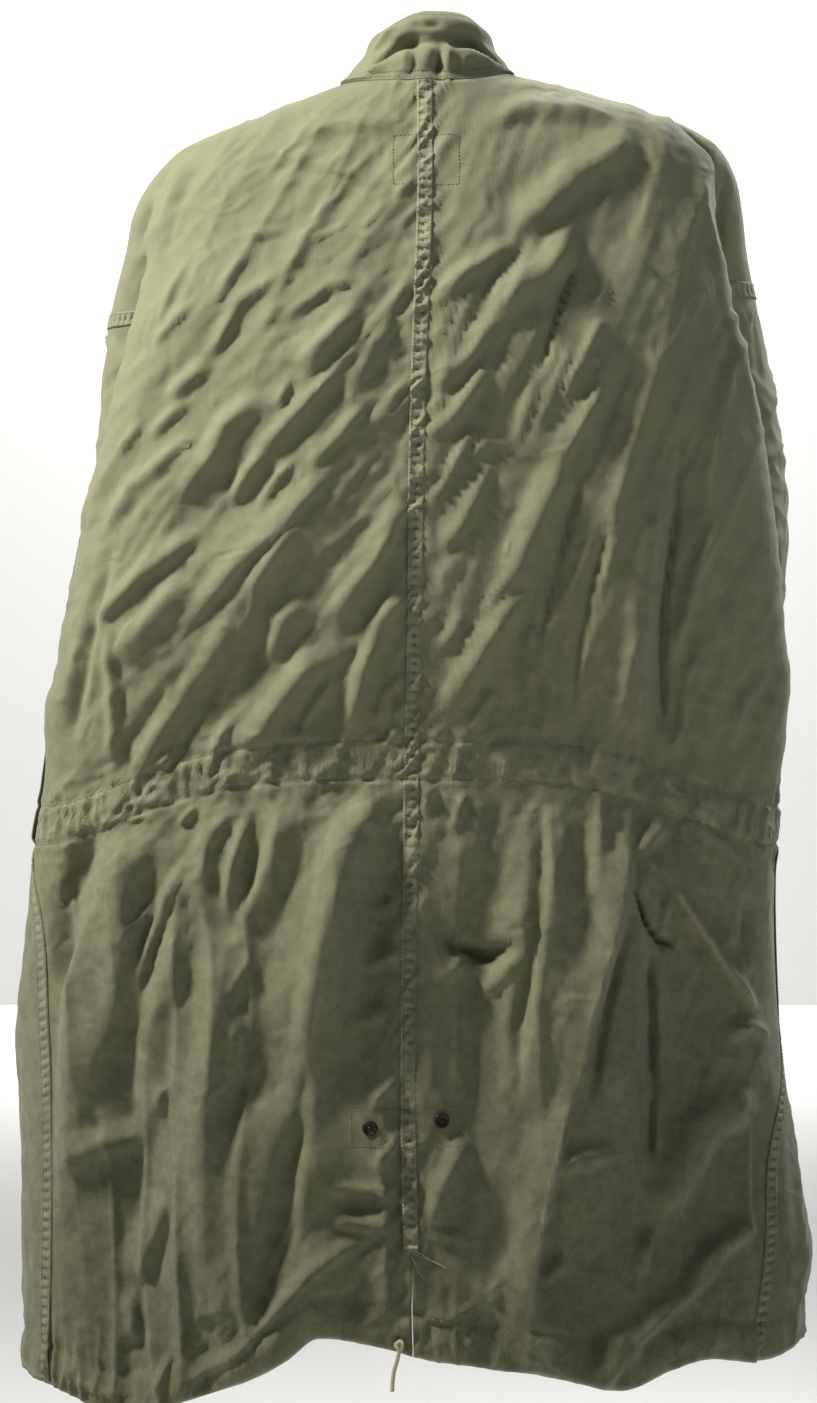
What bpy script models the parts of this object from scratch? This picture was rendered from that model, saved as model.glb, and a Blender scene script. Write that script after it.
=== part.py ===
"""A fishtail parka, filled out as if worn: every cut piece is a thin closed shell of its own.

Lengths in the tables are millimetres, angles are degrees. The back faces +Y, the wearer's left is
+X, and the origin is at the base of the neck, where the wearer's shoulders hold the garment up.

One surface serves all the body panels. Its rows run across a panel and its columns run down it.
Rows 0 to 1 are the yoke, from the neckline to the dropped armhole, where each panel also covers
the upper arm. Rows 1 to 2 run down to the waist casing, and rows 2 to 3 down to the hem.
"""
import bisect
import math
from collections import namedtuple

import bmesh
import bpy
from mathutils import Matrix, Vector
from mathutils.bvhtree import BVHTree

MM = 0.001
NAME = "fishtail_parka"

# Cloth
WALL = 1.5                  # thickness of each cloth wall
SEAM_GAP = 0.2              # each panel stops this far short of a seam's line
LAY_GAP = 0.5               # a piece that lies on a panel stays this far off it
BAND_WALL = 1.0             # thickness of felled bands, casings and patches
BAND_HALF = 6.5             # half the width of a felled band
CASING_HALF = 0.038         # half the height of the waist casing, in rows
ARMHOLE_ROW, WAIST_ROW, HEM_ROW = 1.0, 2.0, 3.0
CREASE_ROW = 0.45           # the row where the crease between back and arm begins
NECK_ROW = 0.0008           # the neckline's own row, just inside the table so that it has a slope
BAND_TOP_ROW = 0.978        # upper edge of the felled band round the armhole
BAND_END_KEY = 0.0123       # its lower edge, on the sleeve
BAND_DROP = 0.2             # the band's middle, the sleeve and the cuff each hang a little lower
SLEEVE_DROP, CUFF_DROP = 0.4, 0.8
COLLAR_LIFT = 0.5           # the collar stands this far over the neckline
FACET_CLEAR = 0.4           # what stands on flat facets is this much further off them
BACK, FRONT = 1, -1
LEFT, RIGHT = 1, -1

# Counts of cells
YOKE_CELLS, CHEST_CELLS, SKIRT_CELLS, TAIL_CELLS = 8, 8, 8, 2
BACK_CELLS, BACK_ARM_CELLS = 9, 3
FRONT_CELLS, FRONT_ARM_CELLS = 7, 7
SLEEVE_CELLS = 10

Section = namedtuple("Section", "row z_centre z_side edge_left edge_right back_y edge_y front_y "
                                "front_power seam_left seam_right centre_x")
# Each row of the body: heights, half widths, depths, how square the front is, and side seams.
SECTIONS = (
    Section(0.00,     0,     0, 150, 170,  62, 20,  -85, 2.4, 135, 135, -4),
    Section(0.50,   -95,   -72, 200, 230, 100, 30,  -92, 3.2, 135, 135, -4),
    Section(1.00,  -188,  -185, 238, 257, 122, 42,  -98, 4.0, 135, 135, -1),
    Section(1.25,  -270,  -285, 262, 285, 130, 38,  -96, 3.6, 122, 124,  2),
    Section(1.50,  -365,  -392, 289, 300, 132, 32,  -92, 3.0, 112, 114,  4),
    Section(1.75,  -462,  -505, 309, 308, 128, 24,  -90, 2.3, 104, 108,  5),
    Section(2.00,  -565,  -621, 321, 301, 116, 14,  -90, 1.7,  94, 100,  7),
    Section(2.20,  -650,  -700, 331, 299, 122,  6, -100, 1.3,  74,  96,  8),
    Section(2.40,  -750,  -795, 341, 303, 128,  0, -110, 1.2,  66,  89, 10),
    Section(2.60,  -850,  -890, 338, 316, 132, -2, -118, 1.1,  66,  69, 10),
    Section(2.80,  -950,  -980, 339, 329, 134, -4, -122, 1.0,  66,  62,  8),
    Section(3.00, -1048, -1070, 333, 325, 132, -5, -124, 1.0,  70,  59,  6),
)
BACK_POWER = 0.8            # below 1 the back is flatter than an ellipse
EDGE_ROUND = 0.15           # how softly the front turns in behind the body's side edges
FRONT_NECK_DROP = 55        # the neckline is this much lower in front

Shoulder = namedtuple("Shoulder", "row x_left z_left x_right z_right y")
# The seam along the top of the shoulder and down the outside of the upper arm.
SHOULDER = (
    Shoulder(0.0,  68,    2,  80,   10,  -5),
    Shoulder(0.2, 125,  -18, 139,   -3,  -8),
    Shoulder(0.4, 180,  -39, 196,  -20, -10),
    Shoulder(0.5, 206,  -53, 224,  -29, -12),
    Shoulder(0.6, 229,  -77, 253,  -47, -18),
    Shoulder(0.7, 244, -103, 269,  -72, -30),
    Shoulder(0.8, 251, -132, 276, -101, -45),
    Shoulder(0.9, 260, -160, 281, -131, -65),
    Shoulder(1.0, 269, -190, 289, -164, -85),
)
# Where the columns of the smooth yoke lie, as a share of the way to the shoulder seam.
YOKE_SPREAD = ((0.0, 0.0), (0.667, 0.78), (1.0, 0.86), (2.0, 1.0))

Ring = namedtuple("Ring", "key x_left x_right y z half_x half_y")
# The sleeves, from the armhole down to the cuff.
SLEEVE = (
    Ring(0.00, 197, 217,  -85, -188, 72, 62),
    Ring(0.15, 203, 236, -102, -255, 73, 62),
    Ring(0.35, 212, 246, -110, -350, 73, 62),
    Ring(0.60, 218, 247, -120, -475, 70, 60),
    Ring(0.85, 214, 234, -132, -610, 64, 55),
    Ring(1.00, 207, 216, -145, -715, 56, 48),
    Ring(1.10, 205, 213, -149, -757, 53, 45),
)
ARM_HALF_X, ARM_HALF_Y = SLEEVE[0].half_x, SLEEVE[0].half_y
CUFF_KEY, CUFF_END = 1.0, 1.1
UNDERARM_GAP = 5.0          # the sleeve's corner stands this far in front of the side seam
SLIT_HALF = 3.5             # half the slit left open where the side seam meets the armhole
SLIT_ROWS = 0.25            # how far that slit reaches up and down
GUSSET_SPREAD = 70          # how far round the arm the pull of the underarm corner reaches

Fold = namedtuple("Fold", "x0 z0 x1 z1 width height")
# The largest folds, each a ridge or a trough along a line seen from behind or from in front.
BACK_FOLDS = (
    Fold(150, -350,   25, -200, 45,   6),
    Fold(205, -400,   60, -250, 40,  -6),
    Fold(235, -480,   70, -330, 45,   6),
    Fold(240, -560,   60, -440, 40,  -5),
    Fold(-60, -120, -190,  -60, 45,  -6),
    Fold(-190, -70,  -80, -250, 45,  -6),
    Fold(-135, -130, -90, -320, 40,   6),
    Fold(-160, -280, -150, -520, 45,  7),
    Fold(-215, -280, -205, -540, 40, -6),
    Fold(45, -600,  110, -800, 42,    9),
    Fold(28, -620,   80, -900, 34,   -9),
    Fold(-105, -600, -95, -860, 40,   9),
    Fold(-170, -640, -120, -960, 45,  8),
    Fold(-45, -640, -40, -900, 36,   -8),
    Fold(170, -700,  190, -1000, 50,  7),
    Fold(230, -760,  245, -1080, 45, -8),
    Fold(-215, -680, -230, -1040, 45, -8),
    Fold(-60, -960, -150, -1075, 40,  8),
    Fold(60, -960,  150, -1060, 45,   8),
)
FRONT_FOLDS = (
    Fold(60, -230,  150, -420, 40,  6),
    Fold(-60, -260, -140, -440, 40, 6),
    Fold(70, -640,  100, -1000, 42, 9),
    Fold(150, -650, 175, -1000, 42, -8),
    Fold(240, -700, 255, -1040, 40, 8),
    Fold(-80, -640, -110, -980, 42, 9),
    Fold(-160, -660, -185, -1020, 42, -8),
    Fold(-235, -680, -250, -1040, 38, 8),
)

Edge = namedtuple("Edge", "x z")
# The hem as seen from behind, and the shorter hem in front.
BACK_HEM = (Edge(-330, -1045), Edge(-308, -1062), Edge(-236, -1058), Edge(-205, -1068),
            Edge(-165, -1083), Edge(-110, -1070), Edge(-60, -1062), Edge(-8, -1054),
            Edge(23, -1046), Edge(84, -1038), Edge(110, -1056), Edge(169, -1084),
            Edge(247, -1106), Edge(285, -1091), Edge(340, -1074))
FRONT_HEM = (Edge(-340, -1045), Edge(-281, -1060.5), Edge(-150, -1036), Edge(0, -1012),
             Edge(150, -1040), Edge(313, -1082.3), Edge(340, -1074))
HEM_REACH = 0.5             # the hem's own line fades out over this many rows

# The split of the tail, below the centre-back seam
SPLIT_ROW = 2.83
SPLIT_HALF = 5.0            # half its opening at the hem

# Collar
COLLAR_CELLS = 4
COLLAR_TOP_X, COLLAR_TOP_HALF = -10, 42
COLLAR_TOP_BACK_Y, COLLAR_TOP_FRONT_Y = 38, -48
COLLAR_TOP_BACK_Z, COLLAR_TOP_FRONT_Z = 60, 12
COLLAR_ROLL = 5.0           # how far the top rolls out over the crease below it
COLLAR_CREASE = 4.0

# Patches behind the back: the box stitched at the neck and the one that backs the tail's snaps
Patch = namedtuple("Patch", "name x0 x1 z0 z1 cells_across cells_down")
PATCHES = (
    Patch("neck_patch", -33, 24,  -47,  -93, 5, 4),
    Patch("tail_patch", -34, 58, -848, -880, 8, 3),
)
PATCH_SINK = 2.7            # the patches lie this far inside the back's outer face

# Snaps: profile of each as radius and height over the cloth
Snap = namedtuple("Snap", "name x z")
SNAPS = (Snap("snap_left", 41, -864), Snap("snap_right", -17, -858))
SNAP_PROFILE = ((0.0, 0.0), (6.0, 0.0), (6.0, 1.3), (5.2, 2.1), (4.2, 2.1), (3.6, 1.2), (1.7, 1.2),
                (1.4, 1.9), (0.0, 1.9))
SNAP_SIDES = 16
BAR_TACK = (12.0, 1.6, 3.0)

# Hem drawcord: a knot beside the split and the free end below it
CORD_DIAMETER = 3.5
KNOT_RADIUS = 3.6
KNOT_X, KNOT_Z = 17, -1040
CORD_ROUTE = ((0, 0, 0), (2, -1, -9), (5, -2, -20), (6, -2, -34))
CORD_POINTS = 6
Place = namedtuple("Place", "key x y z")

# Zip: lengths outward are from the front's outer face
FRONT_EDGE = 4.2            # each front stops this far from the zip's centre
ZIP_TOP_ROW, SLIDER_ROW, ZIP_END_ROW = 0.04, 0.07, 2.82
TAPE_INNER, TAPE_OUTER = 3.4, 16.0
CHAIN_HALF, CHAIN_DEPTH = 2.8, 3.0
CHAIN_TOP = 2.0             # the chain ends this far above the slider's centre, under its post
Block = namedtuple("Block", "half_x out0 out1 z0 z1")
SLIDER_BLOCKS = (
    Block(4.2, -4.8, -3.4, -6.0, 6.0),      # plate behind the chain
    Block(4.2, 0.4, 2.0, -6.0, 6.0),        # plate in front of it
    Block(1.5, -4.0, 1.0, 2.5, 5.5),        # post between the plates
    Block(0.8, 1.2, 5.0, 3.2, 4.6),         # feet of the bridge
    Block(0.8, 1.2, 5.0, -4.6, -3.2),
    Block(0.8, 4.2, 5.4, -4.6, 4.6),        # bridge that carries the pull tab
)
PULL_OUT = 3.1              # the pull tab's axis stands this far out, under the bridge
PULL_OUTLINE = ((-3.5, 0.6), (3.5, 0.6), (3.5, -9.0), (4.2, -12.0), (4.2, -21.5), (2.8, -23.5),
                (-2.8, -23.5), (-4.2, -21.5), (-4.2, -12.0), (-3.5, -9.0))
PULL_HOLE = ((-1.7, -0.6), (1.7, -0.6), (1.7, -8.1), (-1.7, -8.1))
PULL_WALL = 1.2

Paint = namedtuple("Paint", "red green blue rough metal")
COTTON = Paint(0.135, 0.132, 0.082, 0.92, 0.0)
BAND_COTTON = Paint(0.110, 0.106, 0.064, 0.92, 0.0)
CORD_COTTON = Paint(0.420, 0.400, 0.320, 0.90, 0.0)
DARK_METAL = Paint(0.030, 0.027, 0.022, 0.45, 0.8)
BRASS = Paint(0.250, 0.200, 0.110, 0.40, 0.9)


def smooth(share):
    """A soft step from 0 to 1."""
    share = min(max(share, 0.0), 1.0)
    return share * share * (3.0 - 2.0 * share)


def mix(first, second, share):
    return first + (second - first) * share


def read(table, column, key):
    """One column of a table at any key, on a smooth curve through the table's rows."""
    keys = [row[0] for row in table]
    values = [getattr(row, column) for row in table]
    key = min(max(key, keys[0]), keys[-1])
    start = min(bisect.bisect_right(keys, key), len(keys) - 1) - 1
    span = keys[start + 1] - keys[start]

    def slope(index):
        before, after = max(index - 1, 0), min(index + 1, len(keys) - 1)
        return (values[after] - values[before]) / (keys[after] - keys[before])

    t = (key - keys[start]) / span
    return ((2 * t ** 3 - 3 * t ** 2 + 1) * values[start] + (t ** 3 - 2 * t ** 2 + t) * span * slope(start)
            + (3 * t ** 2 - 2 * t ** 3) * values[start + 1] + (t ** 3 - t ** 2) * span * slope(start + 1))


def between(pairs, key):
    """A straight reading of pairs of key and value."""
    for (key0, value0), (key1, value1) in zip(pairs, pairs[1:]):
        if key <= key1:
            return mix(value0, value1, (key - key0) / (key1 - key0))
    return pairs[-1][1]


def side_name(side):
    return "left" if side == LEFT else "right"


def shoulder(side, row):
    """The point of the shoulder seam on a row of the yoke."""
    name = side_name(side)
    return Vector((side * read(SHOULDER, "x_" + name, row), read(SHOULDER, "y", row),
                   read(SHOULDER, "z_" + name, row)))


def centre_height(face, row):
    """Height of the centre line, lower at the front of the neck."""
    drop = FRONT_NECK_DROP * (1.0 - smooth(row)) if face == FRONT else 0.0
    return read(SECTIONS, "z_centre", row) - drop


def torso_point(side, angle, row):
    """A point of the body's own ring: 0 degrees is the centre back, 180 the centre front."""
    edge = side * read(SECTIONS, "edge_" + side_name(side), row)
    centre_x = read(SECTIONS, "centre_x", row)
    edge_y = read(SECTIONS, "edge_y", row)
    sine, cosine = math.sin(math.radians(angle)), math.cos(math.radians(angle))
    if cosine >= 0.0:
        y = mix(edge_y, read(SECTIONS, "back_y", row), cosine ** BACK_POWER)
    else:
        hollow = abs(cosine) ** read(SECTIONS, "front_power", row)
        y = mix(edge_y, read(SECTIONS, "front_y", row), mix(hollow, abs(cosine), EDGE_ROUND))
    face = BACK if cosine >= 0.0 else FRONT
    z = mix(centre_height(face, row), read(SECTIONS, "z_side", row), smooth(sine * sine))
    return Vector((mix(centre_x, edge, sine), y, z))


def seam_angle(side, row):
    return read(SECTIONS, "seam_" + side_name(side), row)


def panel_angle(side, face, across, row):
    """Where a share of a panel's width lies on the body's ring."""
    seam = seam_angle(side, row)
    return seam * across if face == BACK else 180.0 - (180.0 - seam) * across


def underarm(side, row):
    """The corner of the arm's ring, just in front of the body's side seam."""
    return torso_point(side, seam_angle(side, row), row) - Vector((0.0, UNDERARM_GAP, 0.0))


def arm_point(side, turn, row):
    """A point of the upper arm's ring: 0 degrees is outermost, 90 is at its back."""
    outer = shoulder(side, row)
    corner = underarm(side, row)
    centre = Vector((outer.x - side * ARM_HALF_X, outer.y, outer.z))
    corner_turn = corner_turn_of(side, centre, corner)
    return ring_with_corner(side, turn, centre, corner, corner_turn)


def corner_turn_of(side, centre, corner):
    """The angle at which the underarm corner lies on the arm's ring."""
    return math.degrees(math.atan2((corner.y - centre.y) / ARM_HALF_Y,
                                   side * (corner.x - centre.x) / ARM_HALF_X)) % 360.0


def ring_with_corner(side, turn, centre, corner, corner_turn):
    """An ellipse pulled out to the corner where side seam and armhole meet."""
    def on_ellipse(angle):
        return Vector((centre.x + side * ARM_HALF_X * math.cos(math.radians(angle)),
                       centre.y + ARM_HALF_Y * math.sin(math.radians(angle)), centre.z))

    apart = abs((turn - corner_turn + 180.0) % 360.0 - 180.0)
    pull = smooth(1.0 - apart / GUSSET_SPREAD)
    point, foot = on_ellipse(turn), on_ellipse(corner_turn)
    height = mix(corner.z, centre.z, smooth((1.0 + math.cos(math.radians(turn))) / 2.0))
    return Vector((point.x + (corner.x - foot.x) * pull, point.y + (corner.y - foot.y) * pull,
                   mix(height, corner.z, pull)))


def arm_turn(side, face, share, row):
    """The arm ring's angle at a share of the panel's arm part, from the underarm to the seam."""
    outer = shoulder(side, row)
    centre = Vector((outer.x - side * ARM_HALF_X, outer.y, outer.z))
    corner = underarm(side, row)
    start = corner_turn_of(side, centre, corner)
    return start * (1.0 - share) if face == BACK else mix(start, 360.0, share)


def cape_point(side, face, across, row):
    """A point of the smooth yoke, with no crease between back and arm."""
    outer = shoulder(side, row)
    centre_x = read(SECTIONS, "centre_x", row)
    depth = read(SECTIONS, "back_y" if face == BACK else "front_y", row)
    angle = math.radians(90.0 * between(YOKE_SPREAD, across))
    sine, cosine = math.sin(angle), math.cos(angle)
    power = BACK_POWER if face == BACK else 1.0
    return Vector((mix(centre_x, outer.x, sine), mix(outer.y, depth, max(cosine, 0.0) ** power),
                   mix(centre_height(face, row), outer.z, smooth(sine * sine))))


def plain_point(side, face, across, row):
    """The panel's surface without its folds. Past 1, across is on the upper arm."""
    if row > ARMHOLE_ROW:
        return torso_point(side, panel_angle(side, face, across, row), row)
    if across <= 1.0:
        limb = torso_point(side, panel_angle(side, face, across, row), row)
    else:
        limb = arm_point(side, arm_turn(side, face, across - 1.0, row), row)
    crease = smooth((row - CREASE_ROW) / (ARMHOLE_ROW - CREASE_ROW))
    return cape_point(side, face, across, row).lerp(limb, crease)


def fold_height(folds, x, z):
    """How far the folds lift the cloth at a place seen from behind or from in front."""
    total = 0.0
    for fold in folds:
        run = Vector((fold.x1 - fold.x0, fold.z1 - fold.z0))
        reach = Vector((x - fold.x0, z - fold.z0))
        share = min(max(reach.dot(run) / run.length_squared, 0.0), 1.0)
        apart = (reach - run * share).length / fold.width
        if apart < 1.0:
            ends = 1.0 - abs(2.0 * share - 1.0) ** 3
            total += fold.height * ends * math.cos(apart * math.pi / 2.0) ** 2
    return total


def fold_share(face, across, row):
    """Folds fade out at the neckline, the shoulder, the side seams and the zip."""
    rim = smooth(row / 0.2) * smooth((2.0 - across) / 0.5)
    if row > 0.8:
        rim *= mix(1.0, smooth((1.0 - across) / 0.15), smooth((row - 0.8) / 0.2))
    return rim if face == BACK else rim * smooth(across / 0.15)


def hem_shift(face, x, row):
    """How far the hem's own line moves a point up or down."""
    hem = BACK_HEM if face == BACK else FRONT_HEM
    level = mix(read(SECTIONS, "z_centre", HEM_ROW), read(SECTIONS, "z_side", HEM_ROW),
                min(abs(x) / 320.0, 1.0) ** 2)
    return (between(hem, x) - level) * smooth(1.0 - (HEM_ROW - row) / HEM_REACH)


def flattened(normal):
    """A normal turned level, so that the two rims of an armhole seam lie flat on each other."""
    return Vector((normal.x, normal.y, 0.0)).normalized()


def surface(side, face, across, row, along=0.0):
    """Outer point and outward normal of a panel, with along more millimetres across it."""
    step = 0.004
    run = plain_point(side, face, across + step, row) - plain_point(side, face, across - step, row)
    below = row + step if across <= 1.0 else min(row + step, ARMHOLE_ROW)
    fall = plain_point(side, face, across, below) - plain_point(side, face, across, row - step)
    normal = run.cross(fall).normalized() * side * face
    if row == ARMHOLE_ROW and across > 1.0:
        normal = flattened(normal)
    point = plain_point(side, face, across, row) + run.normalized() * along
    folds = BACK_FOLDS if face == BACK else FRONT_FOLDS
    point += normal * fold_height(folds, point.x, point.z) * fold_share(face, across, row)
    point.z += hem_shift(face, point.x, row)
    if face == BACK and row > SPLIT_ROW and across < 0.3:
        opening = SPLIT_HALF * (row - SPLIT_ROW) / (HEM_ROW - SPLIT_ROW)
        point.x += side * opening * (1.0 - smooth(across / 0.3))
    return point, normal


def sleeve_surface(side, turn, key):
    """Outer point and outward normal of a sleeve."""
    def plain(angle, at):
        def on_ring(where):
            return Vector((side * (read(SLEEVE, "x_" + side_name(side), where)
                                   + read(SLEEVE, "half_x", where) * math.cos(math.radians(angle))),
                           read(SLEEVE, "y", where)
                           + read(SLEEVE, "half_y", where) * math.sin(math.radians(angle)),
                           read(SLEEVE, "z", where)))
        start = arm_point(side, angle, ARMHOLE_ROW) - on_ring(0.0)
        return on_ring(at) + start * (1.0 - smooth(at / 0.25))

    run = plain(turn + 1.0, key) - plain(turn - 1.0, key)
    fall = plain(turn, key + 0.01) - plain(turn, max(key - 0.01, 0.0))
    normal = run.cross(fall).normalized() * -side
    return plain(turn, key), flattened(normal) if key == 0.0 else normal


def neck_turn(face, across):
    """The angle round the neck of a column of the neckline: 0 degrees is the centre back."""
    turn = 90.0 * between(YOKE_SPREAD, across)
    return turn if face == BACK else 180.0 - turn


def collar_surface(side, face, across, along, height):
    """Outer point and outward normal of the collar; height runs from 0 at its seam to 1."""
    base, outward = surface(side, face, across, 0.0, along)
    turn = math.radians(neck_turn(face, across))
    sine, cosine = math.sin(turn), math.cos(turn)
    depth = COLLAR_TOP_BACK_Y if cosine >= 0.0 else -COLLAR_TOP_FRONT_Y
    top = Vector((COLLAR_TOP_X + side * COLLAR_TOP_HALF * sine, depth * cosine,
                  mix(COLLAR_TOP_FRONT_Z, COLLAR_TOP_BACK_Z, smooth((1.0 + cosine) / 2.0))))
    top.x += side * (along if across < 0.5 else 0.0)
    rise = (top - base).normalized()
    level = Vector((outward.x, outward.y, 0.0)).normalized()
    normal = level.lerp((level - rise * level.dot(rise)).normalized(), smooth(height / 0.3)).normalized()
    swell = COLLAR_ROLL * math.sin(math.pi * height) ** 2
    crease = COLLAR_CREASE * 2.0 * max(0.0, 1.0 - abs(height - 0.5) / 0.22)
    return base.lerp(top, height) + normal * (swell - crease), normal


def material(name, paint):
    """A plain material with the part's colour."""
    made = bpy.data.materials.get(name) or bpy.data.materials.new(name)
    made.use_nodes = True
    shader = made.node_tree.nodes["Principled BSDF"]
    shader.inputs["Base Color"].default_value = (paint.red, paint.green, paint.blue, 1.0)
    shader.inputs["Roughness"].default_value = paint.rough
    shader.inputs["Metallic"].default_value = paint.metal
    made.diffuse_color = (paint.red, paint.green, paint.blue, 1.0)
    return made


def add_object(name, mesh, collection, paint):
    thing = bpy.data.objects.new(name, mesh)
    collection.objects.link(thing)
    mesh.materials.clear()
    mesh.materials.append(material(name, paint))
    return thing


def shell(name, rows, collection, paint, inner, outer, closed=False, keep=None):
    """A closed wall on a grid of surface points, from inner to outer millimetres off them.

    rows holds a list of (point, normal) for each row. closed joins the last column to the first,
    and keep says which cells there are.
    """
    count = len(rows[0])
    bm = bmesh.new()
    bmesh.ops.create_grid(bm, x_segments=count - 1, y_segments=len(rows) - 1, size=1.0)
    bm.verts.ensure_lookup_table()
    inside = bm.verts.layers.float_vector.new("inside")
    unused = []
    for index, vert in enumerate(bm.verts):
        row, column = divmod(index, count)
        if keep and not keep(row, column):
            unused.append(vert)
            continue
        point, normal = rows[row][column]
        vert.co = (point + normal * outer) * MM
        vert[inside] = (point + normal * inner) * MM
    bmesh.ops.delete(bm, geom=unused, context="VERTS")
    if closed:
        bmesh.ops.remove_doubles(bm, verts=bm.verts, dist=0.00001)
    bmesh.ops.triangulate(bm, faces=bm.faces, quad_method="FIXED")
    made = bmesh.ops.extrude_face_region(bm, geom=bm.faces[:], use_keep_orig=True)
    for item in made["geom"]:
        if isinstance(item, bmesh.types.BMVert):
            item.co = item[inside]
    bmesh.ops.recalc_face_normals(bm, faces=bm.faces)
    mesh = bpy.data.meshes.new(name)
    bm.to_mesh(mesh)
    bm.free()
    return add_object(name, mesh, collection, paint)


def spread(start, end, cells):
    return [mix(start, end, index / cells) for index in range(cells + 1)]


def body_rows():
    """The rows of every body panel, with ones at the armhole band and at the waist casing."""
    yoke = spread(0.0, BAND_TOP_ROW, YOKE_CELLS) + [ARMHOLE_ROW]
    chest = spread(ARMHOLE_ROW, WAIST_ROW - CASING_HALF, CHEST_CELLS)[1:] + [WAIST_ROW]
    skirt = spread(WAIST_ROW + CASING_HALF, SPLIT_ROW, SKIRT_CELLS)
    return yoke + chest + skirt + spread(SPLIT_ROW, HEM_ROW, TAIL_CELLS)[1:]


def columns(face):
    """Each column of a panel as (across, along), from the centre to the shoulder seam."""
    first = (SEAM_GAP, BAND_HALF) if face == BACK else (FRONT_EDGE, TAPE_OUTER)
    cells = BACK_CELLS if face == BACK else FRONT_CELLS
    arm_cells = BACK_ARM_CELLS if face == BACK else FRONT_ARM_CELLS
    start = 0.12 if face == BACK else 0.18
    torso = [(share, 0.0) for share in spread(start, 0.87, cells - 3)]
    arm = [(share, 0.0) for share in spread(1.0, 2.0, arm_cells)[1:-1]]
    return ([(0.0, first[0]), (0.0, first[1])] + torso + [(1.0, -BAND_HALF), (1.0, -SEAM_GAP)]
            + arm + [(2.0, -SEAM_GAP)])


def torso_columns(face):
    return [place for place in columns(face) if place[0] <= 1.0]


def opened(side, face, across, row, placed):
    """A panel's point, moved at the underarm corner, where four walls meet, to leave a slit."""
    if across != 1.0:
        return placed
    share = max(0.0, 1.0 - abs(row - ARMHOLE_ROW) / SLIT_ROWS)
    return placed[0] + Vector((side * face * SLIT_HALF * share, 0.0, 0.0)), placed[1]


def panel(side, face, collection):
    """One half of the back or the front, cut in one with its share of the upper arm."""
    rows, places = body_rows(), columns(face)
    torso = len(torso_columns(face))
    grid = [[opened(side, face, across, row, surface(side, face, across, max(row, NECK_ROW), along))
             for across, along in places] for row in rows]
    name = ("back_" if face == BACK else "front_") + side_name(side)
    return shell(name, grid, collection, COTTON, -WALL, 0.0,
                 keep=lambda row, column: rows[row] <= ARMHOLE_ROW or column < torso)


def arm_places(side):
    """Columns round the arm as (face, across), from the underarm over the back to the front."""
    back = [(BACK, share) for share in spread(1.0, 2.0, BACK_ARM_CELLS)]
    front = [(FRONT, share) for share in spread(2.0, 1.0, FRONT_ARM_CELLS)]
    return back + front[1:]


def arm_turns(side):
    """The same columns as angles round the sleeve."""
    return [arm_turn(side, face, across - 1.0, ARMHOLE_ROW) for face, across in arm_places(side)]


def lowered(placed, drop):
    point, normal = placed
    return point - Vector((0.0, 0.0, drop)), normal


def sleeve(side, collection):
    keys = [0.0, BAND_END_KEY] + spread(0.09, CUFF_KEY, SLEEVE_CELLS - 2)
    grid = [[lowered(sleeve_surface(side, turn, key), SLEEVE_DROP) for turn in arm_turns(side)]
            for key in keys]
    return shell("sleeve_" + side_name(side), grid, collection, COTTON, -WALL, 0.0, closed=True)


def cuff(side, collection):
    grid = [[lowered(sleeve_surface(side, turn, key), CUFF_DROP) for turn in arm_turns(side)]
            for key in (CUFF_KEY, CUFF_END)]
    return shell("cuff_" + side_name(side), grid, collection, COTTON, -2.0 * WALL, 0.0, closed=True)


def arm_band(side, collection):
    """The felled band of the armhole seam, open at the underarm."""
    places = arm_places(side)[1:-3]
    turns = arm_turns(side)[1:-3]
    above = [surface(side, face, across, BAND_TOP_ROW) for face, across in places]
    middle = [lowered(surface(side, face, across, ARMHOLE_ROW), BAND_DROP) for face, across in places]
    below = [lowered(sleeve_surface(side, turn, BAND_END_KEY), SLEEVE_DROP) for turn in turns]
    return shell("seam_arm_" + side_name(side), [above, middle, below], collection, BAND_COTTON,
                 LAY_GAP, LAY_GAP + BAND_WALL)


def side_band(side, collection):
    """The felled band of the side seam, from the underarm to the hem."""
    rows = [row for row in body_rows() if row > ARMHOLE_ROW + SLIT_ROWS]
    grid = []
    for row in rows:
        middle = surface(side, BACK, 1.0, row)
        grid.append([surface(side, BACK, 1.0, row, -BAND_HALF), middle,
                     surface(side, FRONT, 1.0, row, -BAND_HALF)])
    return shell("seam_side_" + side_name(side), grid, collection, BAND_COTTON,
                 LAY_GAP, LAY_GAP + BAND_WALL)


def centre_band(collection):
    """The felled band of the centre-back seam, from the neckline to the split."""
    grid = [[surface(LEFT, BACK, 0.0, max(row, NECK_ROW), BAND_HALF), surface(LEFT, BACK, 0.0, row),
             surface(RIGHT, BACK, 0.0, row, BAND_HALF)] for row in body_rows() if row <= SPLIT_ROW]
    return shell("seam_centre_back", grid, collection, BAND_COTTON, LAY_GAP, LAY_GAP + BAND_WALL)


def casing(side, face, collection):
    """The tunnel inside the waist, sewn on along its two rows."""
    rows = (WAIST_ROW - CASING_HALF, WAIST_ROW, WAIST_ROW + CASING_HALF)
    places = torso_columns(face)[:-1] if face == BACK else torso_columns(face)[2:-1]
    grid = [[surface(side, face, across, row, along) for across, along in places] for row in rows]
    name = "casing_" + ("back_" if face == BACK else "front_") + side_name(side)
    return shell(name, grid, collection, BAND_COTTON, -WALL - LAY_GAP - BAND_WALL, -WALL - LAY_GAP)


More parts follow.
